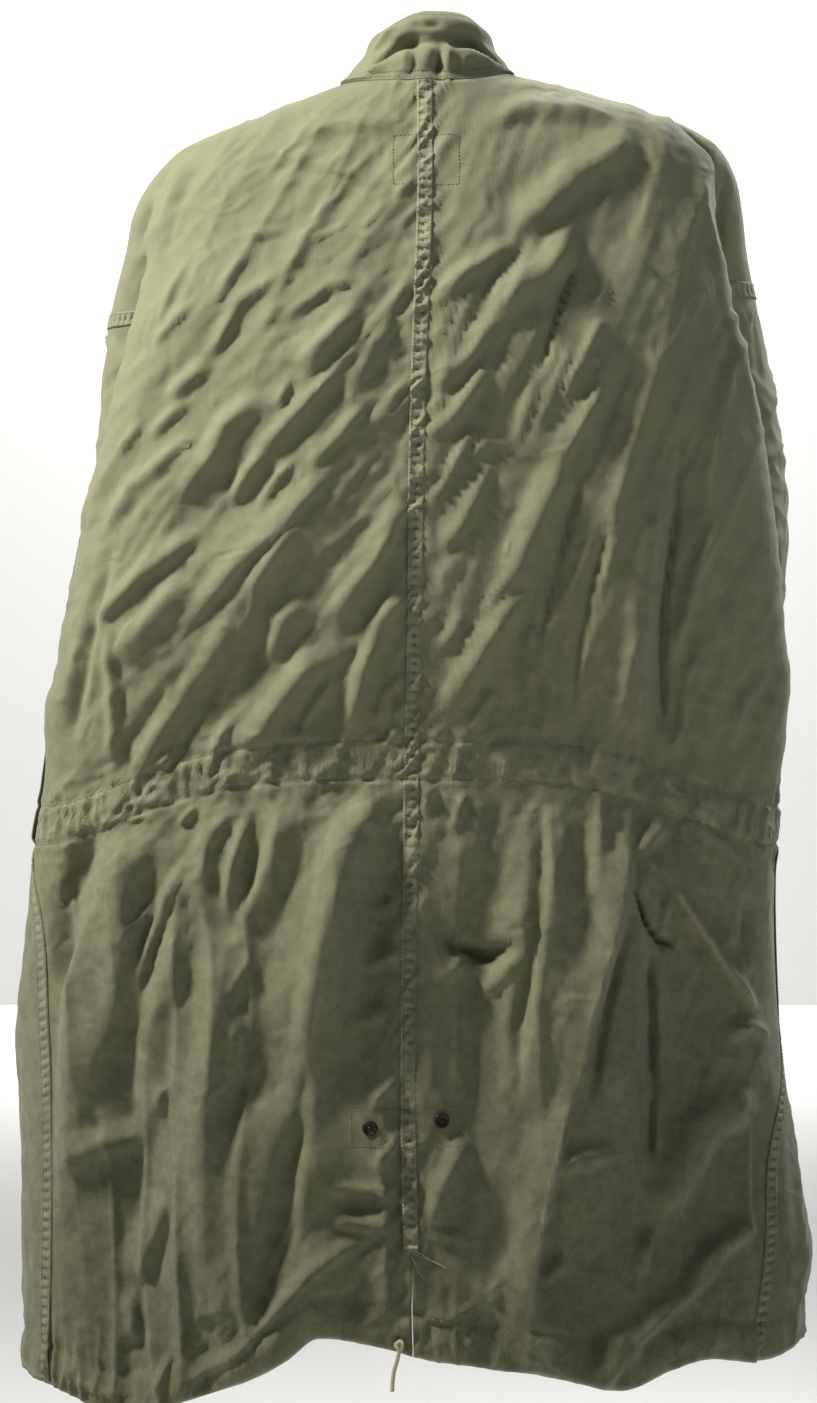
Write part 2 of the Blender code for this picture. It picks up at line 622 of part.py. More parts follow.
def collar(collection):
    """The stand collar, open in front."""
    round_neck = []
    for side in (LEFT, RIGHT):
        half = [(side, FRONT) + place for place in columns(FRONT)]
        half += [(side, BACK) + place for place in reversed(columns(BACK)[:-1])]
        round_neck += half if side == LEFT else half[::-1]
    grid = [[lowered(collar_surface(side, face, across, along, height), -COLLAR_LIFT)
             for side, face, across, along in round_neck]
            for height in reversed(spread(0.0, 1.0, COLLAR_CELLS))]
    return shell("collar", grid, collection, COTTON, -1.7 * WALL, 0.0)


def tree_of(thing):
    mesh = thing.data
    return BVHTree.FromPolygons([vert.co / MM for vert in mesh.vertices],
                                [face.vertices[:] for face in mesh.polygons])


def back_hit(trees, x, z):
    """The outer face of the back at a place seen from behind: point and facet normal."""
    hits = [tree.ray_cast(Vector((x, 1000.0, z)), Vector((0.0, -1.0, 0.0))) for tree in trees]
    found = [hit for hit in hits if hit[0] is not None]
    nearest = max(found, key=lambda hit: hit[0].y)
    return nearest[0], nearest[1]


def patch(shape, trees, collection):
    """A stitched-on patch on the inside of the back."""
    behind = Vector((0.0, 1.0, 0.0))
    grid = [[(back_hit(trees, x, z)[0], behind) for x in spread(shape.x1, shape.x0, shape.cells_across)]
            for z in spread(shape.z0, shape.z1, shape.cells_down)]
    return shell(shape.name, grid, collection, BAND_COTTON, -PATCH_SINK - BAND_WALL, -PATCH_SINK)


def snap(shape, trees, collection):
    """A turned metal stud, clear of the facets under it."""
    centre, normal = back_hit(trees, shape.x, shape.z)
    reach = SNAP_PROFILE[1][0]
    rim = [back_hit(trees, shape.x + reach * math.cos(turn), shape.z + reach * math.sin(turn))[0]
           for turn in (math.tau * step / 8 for step in range(8))]
    lift = max([0.0] + [(point - centre).dot(normal) for point in rim]) + FACET_CLEAR
    bm = bmesh.new()
    verts = [bm.verts.new((radius * MM, 0.0, height * MM)) for radius, height in SNAP_PROFILE]
    edges = [bm.edges.new(pair) for pair in zip(verts, verts[1:])]
    bmesh.ops.spin(bm, geom=verts + edges, axis=(0, 0, 1), cent=(0, 0, 0), angle=math.tau,
                   steps=SNAP_SIDES, use_merge=True)
    bmesh.ops.remove_doubles(bm, verts=bm.verts, dist=0.00001)
    bmesh.ops.recalc_face_normals(bm, faces=bm.faces)
    mesh = bpy.data.meshes.new(shape.name)
    bm.to_mesh(mesh)
    bm.free()
    thing = add_object(shape.name, mesh, collection, DARK_METAL)
    thing.location = (centre + normal * lift) * MM
    thing.rotation_mode = "QUATERNION"
    thing.rotation_quaternion = normal.to_track_quat("Z", "Y")
    return thing


def box(name, size, centre, collection, paint):
    bm = bmesh.new()
    bmesh.ops.create_cube(bm, size=1.0, matrix=Matrix.Diagonal((*[side * MM for side in size], 1.0)))
    mesh = bpy.data.meshes.new(name)
    bm.to_mesh(mesh)
    bm.free()
    thing = add_object(name, mesh, collection, paint)
    thing.location = centre * MM
    return thing


def bar_tack(collection):
    """The dense stitching that ends the centre-back seam over the split."""
    point, normal = surface(LEFT, BACK, 0.0, SPLIT_ROW - 0.012)
    stand = LAY_GAP + BAND_WALL + FACET_CLEAR + BAR_TACK[1] / 2.0
    return box("bar_tack", BAR_TACK, point + normal * stand, collection, CORD_COTTON)


def tube(name, points, diameter, collection, paint):
    """A round cord as a curve with filled caps."""
    curve = bpy.data.curves.new(name, "CURVE")
    curve.dimensions = "3D"
    curve.bevel_depth = diameter * MM / 2.0
    curve.bevel_resolution = 2
    curve.use_fill_caps = True
    spline = curve.splines.new("POLY")
    spline.points.add(len(points) - 1)
    for knot, point in zip(spline.points, points):
        knot.co = (*(point * MM), 1.0)
    thing = bpy.data.objects.new(name, curve)
    collection.objects.link(thing)
    curve.materials.append(material(name, paint))
    return thing


def hem_cord(trees, collection):
    """The free end of the hem's drawcord: a knot on the tail's left edge and the end below it."""
    spot, normal = back_hit(trees, KNOT_X, KNOT_Z)
    centre = spot + normal * (KNOT_RADIUS + FACET_CLEAR)
    bm = bmesh.new()
    bmesh.ops.create_uvsphere(bm, u_segments=10, v_segments=6, radius=KNOT_RADIUS * MM)
    mesh = bpy.data.meshes.new("hem_cord_knot")
    bm.to_mesh(mesh)
    bm.free()
    add_object("hem_cord_knot", mesh, collection, CORD_COTTON).location = centre * MM
    start = centre - Vector((0.0, 0.0, KNOT_RADIUS + FACET_CLEAR))
    table = [Place(index, *offset) for index, offset in enumerate(CORD_ROUTE)]
    last = len(CORD_ROUTE) - 1
    points = [start + Vector([read(table, column, last * step / (CORD_POINTS - 1)) for column in "xyz"])
              for step in range(CORD_POINTS)]
    tube("hem_cord", points, CORD_DIAMETER, collection, CORD_COTTON)


def zip_rows(top):
    return [top] + [row for row in body_rows() if top + 0.02 < row < ZIP_END_ROW] + [ZIP_END_ROW]


def zip_tape(side, collection):
    grid = [[surface(side, FRONT, 0.0, row, along) for along in (TAPE_INNER, TAPE_OUTER)]
            for row in zip_rows(ZIP_TOP_ROW)]
    return shell("zip_tape_" + side_name(side), grid, collection, BAND_COTTON,
                 -WALL - LAY_GAP - BAND_WALL, -WALL - LAY_GAP)


def slider_place():
    """The slider's centre on the front's outer face, and how far the front leans there."""
    point, normal = surface(LEFT, FRONT, 0.0, SLIDER_ROW)
    return point, math.atan2(normal.z, -normal.y)


def chain_top_row():
    """The row of the chain's upper end."""
    height = slider_place()[0].z + CHAIN_TOP
    row = SLIDER_ROW
    while surface(LEFT, FRONT, 0.0, row)[0].z < height:
        row -= 0.001
    return row


def zip_chain(collection):
    """The closed row of teeth as one strip, under the slider."""
    grid = [[surface(side, FRONT, 0.0, row, CHAIN_HALF) for side in (LEFT, RIGHT)]
            for row in zip_rows(chain_top_row())]
    return shell("zip_chain", grid, collection, BRASS, -CHAIN_DEPTH, 0.0)


def slider(collection, cutters):
    """Two plates with a post between them, and a bridge for the pull tab."""
    point, lean = slider_place()
    turn = Matrix.Rotation(-lean, 4, "X")
    body = None
    for index, block in enumerate(SLIDER_BLOCKS):
        size = (2.0 * block.half_x, block.out1 - block.out0, block.z1 - block.z0)
        middle = Vector((0.0, -(block.out0 + block.out1) / 2.0, (block.z0 + block.z1) / 2.0))
        name = "zip_slider" if body is None else "zip_slider_block_%d" % index
        thing = box(name, size, point + turn @ middle, cutters if body else collection, BRASS)
        thing.rotation_euler = (-lean, 0.0, 0.0)
        if body is None:
            body = thing
            continue
        thing.hide_render = True
        thing.display_type = "WIRE"
        union = body.modifiers.new(name, "BOOLEAN")
        union.operation = "UNION"
        union.object = thing
    return body


def zip_pull(collection):
    """The pull tab, hanging on its crossbar under the slider's bridge."""
    point, lean = slider_place()
    curve = bpy.data.curves.new("zip_pull", "CURVE")
    curve.dimensions = "2D"
    curve.fill_mode = "BOTH"
    curve.extrude = PULL_WALL * MM / 2.0
    for outline in (PULL_OUTLINE, PULL_HOLE):
        spline = curve.splines.new("POLY")
        spline.use_cyclic_u = True
        spline.points.add(len(outline) - 1)
        for knot, (x, z) in zip(spline.points, outline):
            knot.co = (x * MM, z * MM, 0.0, 1.0)
    thing = bpy.data.objects.new("zip_pull", curve)
    collection.objects.link(thing)
    curve.materials.append(material("zip_pull", BRASS))
    turn = Matrix.Rotation(-lean, 4, "X")
    thing.location = (point + turn @ Vector((0.0, -PULL_OUT, 0.0))) * MM
    thing.rotation_euler = (math.pi / 2.0 - lean, 0.0, 0.0)
    return thing


def clear_scene():
    for thing in list(bpy.data.objects):
        bpy.data.objects.remove(thing)


def add_collection(name):
    collection = bpy.data.collections.new(name)
    bpy.context.scene.collection.children.link(collection)
    return collection


def main():
    clear_scene()
    collection, cutters = add_collection(NAME), add_collection("cutters")
    trees = []
    for side in (LEFT, RIGHT):
        trees.append(tree_of(panel(side, BACK, collection)))
        panel(side, FRONT, collection)
        for face in (BACK, FRONT):
            casing(side, face, collection)
        sleeve(side, collection)
        cuff(side, collection)
        arm_band(side, collection)
        side_band(side, collection)
        zip_tape(side, collection)
    centre_band(collection)
    collar(collection)
    for shape in PATCHES:
        patch(shape, trees, collection)
    for shape in SNAPS:
        snap(shape, trees, collection)
    bar_tack(collection)
    hem_cord(trees, collection)
    zip_chain(collection)
    slider(collection, cutters)
    zip_pull(collection)


main()
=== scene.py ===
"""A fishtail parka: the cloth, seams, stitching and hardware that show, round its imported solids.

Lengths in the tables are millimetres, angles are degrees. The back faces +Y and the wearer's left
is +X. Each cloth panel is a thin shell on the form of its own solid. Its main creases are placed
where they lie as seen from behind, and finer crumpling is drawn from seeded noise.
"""
import math
import random
from collections import namedtuple
from itertools import groupby

import bmesh
import bpy
import numpy as np
from bpy.props import FloatProperty, PointerProperty, StringProperty
from mathutils import Matrix, Vector
from mathutils.bvhtree import BVHTree


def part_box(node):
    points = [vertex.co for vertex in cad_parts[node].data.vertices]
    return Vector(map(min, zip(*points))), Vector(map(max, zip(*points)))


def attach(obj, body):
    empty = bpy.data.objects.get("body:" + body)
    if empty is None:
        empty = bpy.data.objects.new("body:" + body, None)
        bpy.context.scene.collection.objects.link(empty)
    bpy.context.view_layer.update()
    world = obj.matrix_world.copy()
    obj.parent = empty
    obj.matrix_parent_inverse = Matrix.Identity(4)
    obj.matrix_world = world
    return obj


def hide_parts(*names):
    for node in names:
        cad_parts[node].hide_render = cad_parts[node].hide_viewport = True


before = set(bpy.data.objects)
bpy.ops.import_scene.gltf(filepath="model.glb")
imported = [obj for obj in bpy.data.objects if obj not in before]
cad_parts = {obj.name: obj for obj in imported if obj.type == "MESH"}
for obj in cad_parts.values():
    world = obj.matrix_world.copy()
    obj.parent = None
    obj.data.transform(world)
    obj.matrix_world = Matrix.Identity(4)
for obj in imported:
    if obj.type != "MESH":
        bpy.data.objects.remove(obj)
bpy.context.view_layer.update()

bl_info = {
    "name": "Fishtail Parka",
    "version": (1, 0, 0),
    "blender": (4, 5, 0),
    "location": "View3D > Sidebar > Parka",
    "description": "Builds the cloth, seams, stitching and hardware of a fishtail parka",
    "category": "Object",
}

BODY = "parka"
MM = 0.001
BACK, FRONT = 1, -1
LEFT, RIGHT = 1, -1
SIDE_NAMES = {LEFT: "left", RIGHT: "right"}
FACE_NAMES = {BACK: "back", FRONT: "front"}

Section = namedtuple("Section", "row z_centre z_side edge_left edge_right back_y edge_y front_y "
                                "front_power seam_left seam_right centre_x")
# Each row of the body: heights, half widths, depths, how square the front is, and side seams.
SECTIONS = (
    Section(0.00,     0,     0, 150, 170,  62, 20,  -85, 2.4, 135, 135, -4),
    Section(0.50,   -95,   -72, 200, 230, 100, 30,  -92, 3.2, 135, 135, -4),
    Section(1.00,  -188,  -185, 238, 257, 122, 42,  -98, 4.0, 135, 135, -1),
    Section(1.25,  -270,  -285, 262, 285, 130, 38,  -96, 3.6, 122, 124,  2),
    Section(1.50,  -365,  -392, 289, 300, 132, 32,  -92, 3.0, 112, 114,  4),
    Section(1.75,  -462,  -505, 309, 308, 128, 24,  -90, 2.3, 104, 108,  5),
    Section(2.00,  -565,  -621, 321, 301, 116, 14,  -90, 1.7,  94, 100,  7),
    Section(2.20,  -650,  -700, 331, 299, 122,  6, -100, 1.3,  74,  96,  8),
    Section(2.40,  -750,  -795, 341, 303, 128,  0, -110, 1.2,  66,  89, 10),
    Section(2.60,  -850,  -890, 338, 316, 132, -2, -118, 1.1,  66,  69, 10),
    Section(2.80,  -950,  -980, 339, 329, 134, -4, -122, 1.0,  66,  62,  8),
    Section(3.00, -1048, -1070, 333, 325, 132, -5, -124, 1.0,  70,  59,  6),
)
BACK_POWER = 0.8            # below 1 the back is flatter than an ellipse
EDGE_ROUND = 0.15           # how softly the front turns in behind the body's side edges

Shoulder = namedtuple("Shoulder", "row x_left z_left x_right z_right y")
# The seam along the top of the shoulder and down the outside of the upper arm.
SHOULDER = (
    Shoulder(0.0,  68,    2,  80,   10,  -5),
    Shoulder(0.2, 125,  -18, 139,   -3,  -8),
    Shoulder(0.4, 180,  -39, 196,  -20, -10),
    Shoulder(0.5, 206,  -53, 224,  -29, -12),
    Shoulder(0.6, 229,  -77, 253,  -47, -18),
    Shoulder(0.7, 244, -103, 269,  -72, -30),
    Shoulder(0.8, 251, -132, 276, -101, -45),
    Shoulder(0.9, 260, -160, 281, -131, -65),
    Shoulder(1.0, 269, -190, 289, -164, -85),
)
# Where the columns of the smooth yoke lie, as a share of the way to the shoulder seam.
YOKE_SPREAD = ((0.0, 0.0), (0.667, 0.78), (1.0, 0.86), (2.0, 1.0))

Ring = namedtuple("Ring", "key x_left x_right y z half_x half_y")
# The sleeves, from the armhole down to the cuff.
SLEEVE = (
    Ring(0.00, 197, 217,  -85, -188, 72, 62),
    Ring(0.15, 203, 236, -102, -255, 73, 62),
    Ring(0.35, 212, 246, -110, -350, 73, 62),
    Ring(0.60, 218, 247, -120, -475, 70, 60),
    Ring(0.85, 214, 234, -132, -610, 64, 55),
    Ring(1.00, 207, 216, -145, -715, 56, 48),
    Ring(1.10, 205, 213, -149, -757, 53, 45),
)

Fold = namedtuple("Fold", "x0 z0 x1 z1 width height")
# The largest folds, each a ridge or a trough along a line seen from behind or from in front.
BACK_FOLDS = (
    Fold(150, -350,   25, -200, 45,   6),
    Fold(205, -400,   60, -250, 40,  -6),
    Fold(235, -480,   70, -330, 45,   6),
    Fold(240, -560,   60, -440, 40,  -5),
    Fold(-60, -120, -190,  -60, 45,  -6),
    Fold(-190, -70,  -80, -250, 45,  -6),
    Fold(-135, -130, -90, -320, 40,   6),
    Fold(-160, -280, -150, -520, 45,  7),
    Fold(-215, -280, -205, -540, 40, -6),
    Fold(45, -600,  110, -800, 42,    9),
    Fold(28, -620,   80, -900, 34,   -9),
    Fold(-105, -600, -95, -860, 40,   9),
    Fold(-170, -640, -120, -960, 45,  8),
    Fold(-45, -640, -40, -900, 36,   -8),
    Fold(170, -700,  190, -1000, 50,  7),
    Fold(230, -760,  245, -1080, 45, -8),
    Fold(-215, -680, -230, -1040, 45, -8),
    Fold(-60, -960, -150, -1075, 40,  8),
    Fold(60, -960,  150, -1060, 45,   8),
)
FRONT_FOLDS = (
    Fold(60, -230,  150, -420, 40,  6),
    Fold(-60, -260, -140, -440, 40, 6),
    Fold(70, -640,  100, -1000, 42, 9),
    Fold(150, -650, 175, -1000, 42, -8),
    Fold(240, -700, 255, -1040, 40, 8),
    Fold(-80, -640, -110, -980, 42, 9),
    Fold(-160, -660, -185, -1020, 42, -8),
    Fold(-235, -680, -250, -1040, 38, 8),
)

Edge = namedtuple("Edge", "x z")
# The hem as seen from behind, and the shorter hem in front.
BACK_HEM = (Edge(-330, -1045), Edge(-308, -1062), Edge(-236, -1058), Edge(-205, -1068),
            Edge(-165, -1083), Edge(-110, -1070), Edge(-60, -1062), Edge(-8, -1054),
            Edge(23, -1046), Edge(84, -1038), Edge(110, -1056), Edge(169, -1084),
            Edge(247, -1106), Edge(285, -1091), Edge(340, -1074))
FRONT_HEM = (Edge(-340, -1045), Edge(-281, -1060.5), Edge(-150, -1036), Edge(0, -1012),
             Edge(150, -1040), Edge(313, -1082.3), Edge(340, -1074))

Crease = namedtuple("Crease", "path lit dark height wear", defaults=(0,))


def creases(*rows):
    """Creases from rows: a path as x and z in turn, and the other fields."""
    return [Crease([*zip(path[::2], path[1::2])], *sizes) for path, *sizes in rows]


# Creases that show on the back: their paths run up or right as seen, then the widths of their
# lit and dark flanks, their height, and how far a rubbed one has gone pale.
BACK_CREASES = creases(
    ((153, -56, 121, -54, 76, -67, 24, -83), 19, 7, 4), ((119, -38, 86, -35, 45, -28, 2, -33), 15, 13, 3),
    ((230, -142, 224, -112, 221, -78), 6, 6, 3), ((229, -151, 218, -112, 207, -82, 196, -54), 13, 13, 4),
    ((229, -220, 207, -196, 188, -180), 13, 6, 2.5),
    ((181, -229, 166, -205, 153, -181, 114, -151), 13, 8, 3),
    ((175, -186, 153, -147, 140, -134), 9, 6, 1.5), ((119, -195, 78, -167, 45, -158), 13, 6, 3.5),
    ((153, -125, 125, -121, 110, -117), 9, 5, 1.5), ((97, -130, 69, -117, 56, -106), 5, 3, 1.2),
    ((95, -150, 80, -147, 48, -123), 4, 3, -1), ((106, -237, 80, -210, 50, -183), 13, 24, 5),
    ((35, -219, 23, -197), 4, 3, 1.6), ((22, -91, 2, -73), 6, 5, 2), ((50, -119, 26, -95), 9, 4, 1.6),
    ((122, -272, 114, -255, 110, -240), 6, 6, 2.5), ((140, -315, 99, -270, 61, -229), 15, 7, 4),
    ((102, -330, 67, -293, 37, -257), 15, 7, 4), ((188, -330, 175, -309, 162, -283, 127, -254), 17, 19, 6),
    ((231, -296, 211, -276, 192, -262), 11, 8, 3), ((214, -270, 201, -250, 175, -229), 13, 13, 3.5),
    ((229, -325, 207, -304, 183, -291), 11, 6, 3), ((39, -304, 37, -291), 3, 3, -1),
    ((255, -311, 233, -278), 6, 6, 2), ((224, -203, 207, -164, 192, -140), 9, 6, 1.8),
    ((290, -460, 264, -440, 237, -413, 182, -368), 15, 13, 5),
    ((262, -490, 233, -453, 195, -408), 13, 25, 7), ((258, -586, 260, -506, 264, -443), 11, 11, 5),
    ((206, -465, 182, -437, 155, -405, 111, -364, 56, -302), 19, 8, 5.5),
    ((245, -590, 212, -533, 170, -474, 145, -430), 19, 17, 5),
    ((149, -562, 117, -516, 83, -469), 19, 21, 7.5), ((65, -551, 48, -493, 35, -451, 8, -413), 13, 19, 7),
    ((82, -461, 42, -407, 25, -376, 8, -336), 19, 13, 6), ((147, -430, 119, -390, 98, -363), 13, 8, 3),
    ((132, -489, 117, -451, 94, -426), 13, 23, 5), ((107, -561, 92, -523, 68, -490), 6, 11, 4),
    ((203, -348, 187, -325, 168, -306), 13, 6, 3), ((273, -382, 245, -336, 199, -302), 13, 15, 4),
    ((140, -361, 124, -334, 105, -310), 6, 5, 3), ((163, -353, 145, -323, 126, -302), 11, 13, 4),
    ((256, -477, 245, -456, 235, -443), 5, 6, 2),
    ((298, -558, 288, -506, 275, -443, 258, -384), 11, 11, -5),
    ((161, -474, 142, -443, 134, -413), 8, 6, 2), ((182, -590, 170, -548, 155, -527), 8, 6, 2.5),
    ((37, -544, 29, -510, 8, -493), 8, 8, 4), ((35, -456, 8, -422), 8, 8, 3),
    ((227, -590, 203, -544, 182, -516), 13, 8, 2.5),
    ((-48, -33, -87, -16, -143, -20, -177, -28), 17, 15, 4.5),
    ((-67, -125, -104, -99, -134, -71, -169, -50, -194, -49), 28, 22, 8),
    ((-56, -192, -87, -166, -121, -142, -143, -125), 24, 24, 7),
    ((-5, -260, -43, -224, -69, -186), 19, 11, 5),
    ((-5, -187, -33, -158, -61, -142, -84, -121), 13, 13, 4.5),
    ((-101, -248, -112, -203, -125, -164, -143, -123), 13, 3, -3.5),
    ((-119, -271, -134, -233, -151, -201, -169, -194), 8, 7, 3),
    ((-112, -330, -134, -289, -155, -251), 24, 11, 6), ((-24, -330, -37, -304, -49, -282), 11, 6, 3.5),
    ((-7, -298, -35, -270, -50, -250, -63, -229), 13, 10, 4.5),
    ((-41, -309, -59, -299, -80, -301), 8, 6, 2.5), ((-78, -304, -89, -272, -100, -242), 9, 6, 2),
    ((-156, -130, -177, -140, -203, -159), 6, 4, 1.2), ((-143, -181, -153, -177, -161, -163), 5, 4, 2),
    ((-225, -324, -222, -283), 3, 3, -1.2), ((-248, -315, -255, -285), 4, 4, 1.2),
    ((-257, -158, -254, -112, -261, -65), 4, 6, -4),
    ((-227, -43, -238, -82, -255, -155, -270, -218, -294, -315), 9, 9, 3),
    ((-89, -112, -104, -97, -121, -78), 5, 4, 2), ((-123, -240, -147, -229, -156, -220), 4, 4, 1.5),
    ((-7, -276, -22, -257), 6, 5, 2), ((-70, -433, -90, -384, -109, -340, -129, -307), 22, 24, 7.5),
    ((-94, -481, -109, -437, -125, -373, -140, -309), 13, 4, -3.5),
    ((-52, -448, -65, -424, -81, -402), 9, 5, 3.5), ((-59, -477, -72, -450, -85, -426), 7, 5, 3),
    ((-17, -537, -37, -499, -63, -459, -81, -419), 18, 20, 6.5),
    ((-43, -545, -54, -519, -63, -501), 8, 9, 4),
    ((-12, -395, -30, -378, -48, -344, -63, -309), 15, 10, 4.5),
    ((-8, -351, -25, -329, -41, -296), 11, 6, 3.5), ((-17, -476, -28, -459, -40, -440), 10, 6, 3),
    ((-34, -473, -48, -459, -59, -448), 7, 4, 2),
    ((-125, -541, -134, -486, -143, -433, -165, -344), 13, 4, -4),
    ((-180, -568, -187, -495, -196, -415, -204, -351, -209, -309), 29, 18, 6, 0.2),
    ((-210, -572, -208, -473, -209, -437, -220, -362, -222, -296), 11, 3, -5),
    ((-216, -570, -227, -495, -245, -459), 7, 7, 4), ((-212, -495, -233, -411, -259, -349), 11, 13, 5),
    ((-171, -397, -179, -384), 3, 3, 1.5), ((-105, -548, -109, -495, -112, -486), 9, 6, 2),
    ((-116, -519, -122, -490), 3, 3, -1.5), ((-264, -561, -269, -528, -291, -495), 11, 11, 2.5),
    ((-70, -369, -76, -358), 4, 3, 1.5), ((-98, -499, -107, -484), 3, 3, 1.5),
    ((-23, -534, -8, -548), 7, 4, 2), ((282, -860, 261, -773, 257, -727, 251, -670, 217, -614), 38, 24, 12),
    ((304, -773, 298, -685, 271, -612), 18, 18, -7), ((251, -729, 240, -709, 225, -687), 7, 7, 3),
    ((241, -769, 229, -727, 214, -685, 196, -650), 10, 7, 4.5),
    ((183, -683, 180, -641, 159, -608), 18, 8, 4.5), ((164, -703, 159, -663, 141, -603), 10, 8, 5),
    ((150, -712, 134, -672, 119, -621, 116, -594), 11, 31, 9), ((161, -769, 143, -734), 7, 5, 2.5),
    ((108, -860, 88, -796, 78, -729, 68, -663, 57, -625, 19, -579), 24, 27, 15, 0.12),
    ((76, -785, 57, -792, 26, -778), 13, 8, 5), ((53, -745, 15, -727), 11, 9, 3),
    ((50, -698, 15, -685), 9, 7, 2), ((44, -860, 15, -833), 9, 9, 3), ((306, -799, 290, -790), 5, 7, 4),
    ((311, -694, 299, -659), 5, 4, 3), ((205, -623, 187, -603), 7, 6, 3),
    ((223, -860, 214, -840), 11, 9, 2), ((170, -860, 156, -818, 152, -773), 15, 15, 4),
    ((-85, -862, -88, -788, -98, -732, -104, -664, -106, -588), 16, 4, -5, 0.1),
    ((-127, -862, -140, -788, -163, -709, -176, -642, -179, -595), 43, 13, 11, 0.55),
    ((-140, -862, -156, -777, -174, -700), 7, 7, -3.5), ((-203, -862, -202, -777, -197, -718), 16, 4, -4.5),
    ((-178, -669, -191, -703, -208, -721, -227, -722), 4, 6, -5.5),
    ((-210, -669, -242, -718, -264, -754, -291, -790), 11, 11, 5.5, 0.5),
    ((-12, -709, -30, -726, -60, -732, -90, -721), 11, 10, -7),
    ((-253, -799, -275, -790, -298, -802), 9, 11, 4), ((-208, -709, -210, -676), 7, 7, 3),
    ((-26, -631, -39, -590), 7, 7, 3), ((-1, -608, -12, -588), 7, 7, 2.5),
    ((-62, -691, -95, -705), 9, 7, 3), ((-51, -768, -82, -732), 11, 11, 3), ((3, -700, -6, -682), 7, 7, 2),
    ((-181, -649, -208, -617), 9, 13, 3), ((-273, -745, -278, -673), 13, 13, -3),
    ((-10, -754, -44, -736), 9, 9, 3), ((-89, -1034, -95, -983, -109, -915, -127, -841), 34, 11, 9, 0.55),
    ((-57, -1014, -68, -994), 7, 4, 2.5, 0.3), ((-200, -904, -202, -841), 16, 4, -4.5),
    ((-197, -951, -221, -926, -239, -886, -282, -841), 29, 25, 11),
    ((-226, -1007, -253, -983, -285, -952), 13, 16, 9, 0.2),
    ((-163, -1059, -185, -1032, -226, -1016, -262, -989), 22, 13, 8), ((-185, -987, -195, -953), 13, 11, 4),
    ((-151, -1077, -163, -1052, -174, -1016), 22, 11, 5),
    ((-55, -1014, -73, -1030, -109, -1057, -149, -1078), 11, 4, 5),
    ((3, -1032, -24, -1033, -55, -1014), 9, 4, 4), ((-6, -962, -19, -922, -42, -877), 13, 20, 7),
    ((-3, -962, -42, -965), 5, 5, 3), ((-109, -908, -136, -897, -176, -890), 11, 9, 3),
    ((-100, -992, -127, -971), 9, 9, 2.5), ((-289, -1034, -293, -1012), 5, 5, 3),
    ((-39, -1057, -48, -1034), 4, 4, 3), ((-221, -1061, -215, -1043), 4, 4, 2.5),
    ((310, -909, 280, -892, 232, -876), 18, 15, 8), ((247, -985, 223, -943, 211, -915), 29, 12, 6),
    ((244, -1022, 247, -982), 20, 9, 4),
    ((174, -1044, 154, -1009, 146, -947, 130, -887, 95, -837), 44, 33, 11),
    ((224, -1058, 192, -1054, 152, -1042, 114, -1020, 86, -1008, 61, -989, 15, -960), 20, 6, 7),
    ((223, -1060, 211, -1029), 10, 6, 5), ((299, -1070, 274, -1061, 245, -1058), 7, 4, 4),
    ((131, -992, 117, -969, 104, -947), 5, 3, 2.5), ((81, -965, 42, -964, 11, -957), 13, 10, 7),
    ((86, -937, 59, -934, 16, -938), 10, 8, 5), ((40, -916, 15, -885), 10, 8, 4),
    ((224, -1100, 222, -1066), 4, 5, -4), ((247, -1100, 236, -1069), 5, 4, 3),
    ((194, -1007, 156, -1004), 9, 7, 2.5), ((329, -982, 324, -960), 4, 4, 2.5),
    ((338, -996, 329, -967), 4, 4, 2.5), ((104, -1000, 84, -840, 70, -730, 57, -640), 16, 52, 9),
    ((304, -960, 300, -860, 290, -760, 250, -640), 16, 34, 7),
    ((180, -1010, 176, -860, 160, -700), 26, 22, 5), ((236, -900, 228, -800, 200, -690), 18, 26, 5),
)
# Creases that show on the fronts: nothing of them is in the photograph, so they follow the back's.
FRONT_CREASES = creases(
    ((35, -150, 80, -260, 150, -380), 16, 14, 4), ((28, -230, 70, -330, 110, -470), 14, 12, 3.5),
    ((-35, -160, -85, -280, -160, -400), 14, 16, 4), ((-30, -260, -70, -370, -100, -500), 12, 14, 3.5),
    ((190, -230, 150, -330, 60, -470), 18, 14, 4.5), ((-200, -240, -160, -350, -80, -480), 14, 18, 4),
    ((225, -330, 190, -450, 120, -560), 18, 16, 5), ((-235, -340, -190, -450, -130, -560), 16, 18, 5),
    ((60, -610, 75, -780, 70, -960), 26, 20, 8), ((120, -620, 140, -800, 170, -1000), 24, 18, 7, 0.2),
    ((200, -650, 215, -820, 235, -1020), 26, 22, 9), ((275, -700, 290, -860, 300, -1040), 20, 20, 6),
    ((-70, -610, -90, -780, -85, -950), 20, 26, 8), ((-130, -620, -150, -800, -185, -1000), 18, 24, 7, 0.2),
    ((-210, -650, -230, -840, -245, -1030), 22, 24, 8), ((-275, -700, -285, -880, -300, -1040), 20, 18, 6),
    ((30, -840, 90, -900, 160, -880), 14, 18, 4), ((-40, -900, -100, -960, -170, -930), 16, 16, 4),
    ((90, -60, 60, -110, 25, -140), 12, 12, 3), ((-95, -60, -65, -115, -28, -150), 12, 12, 3),
)
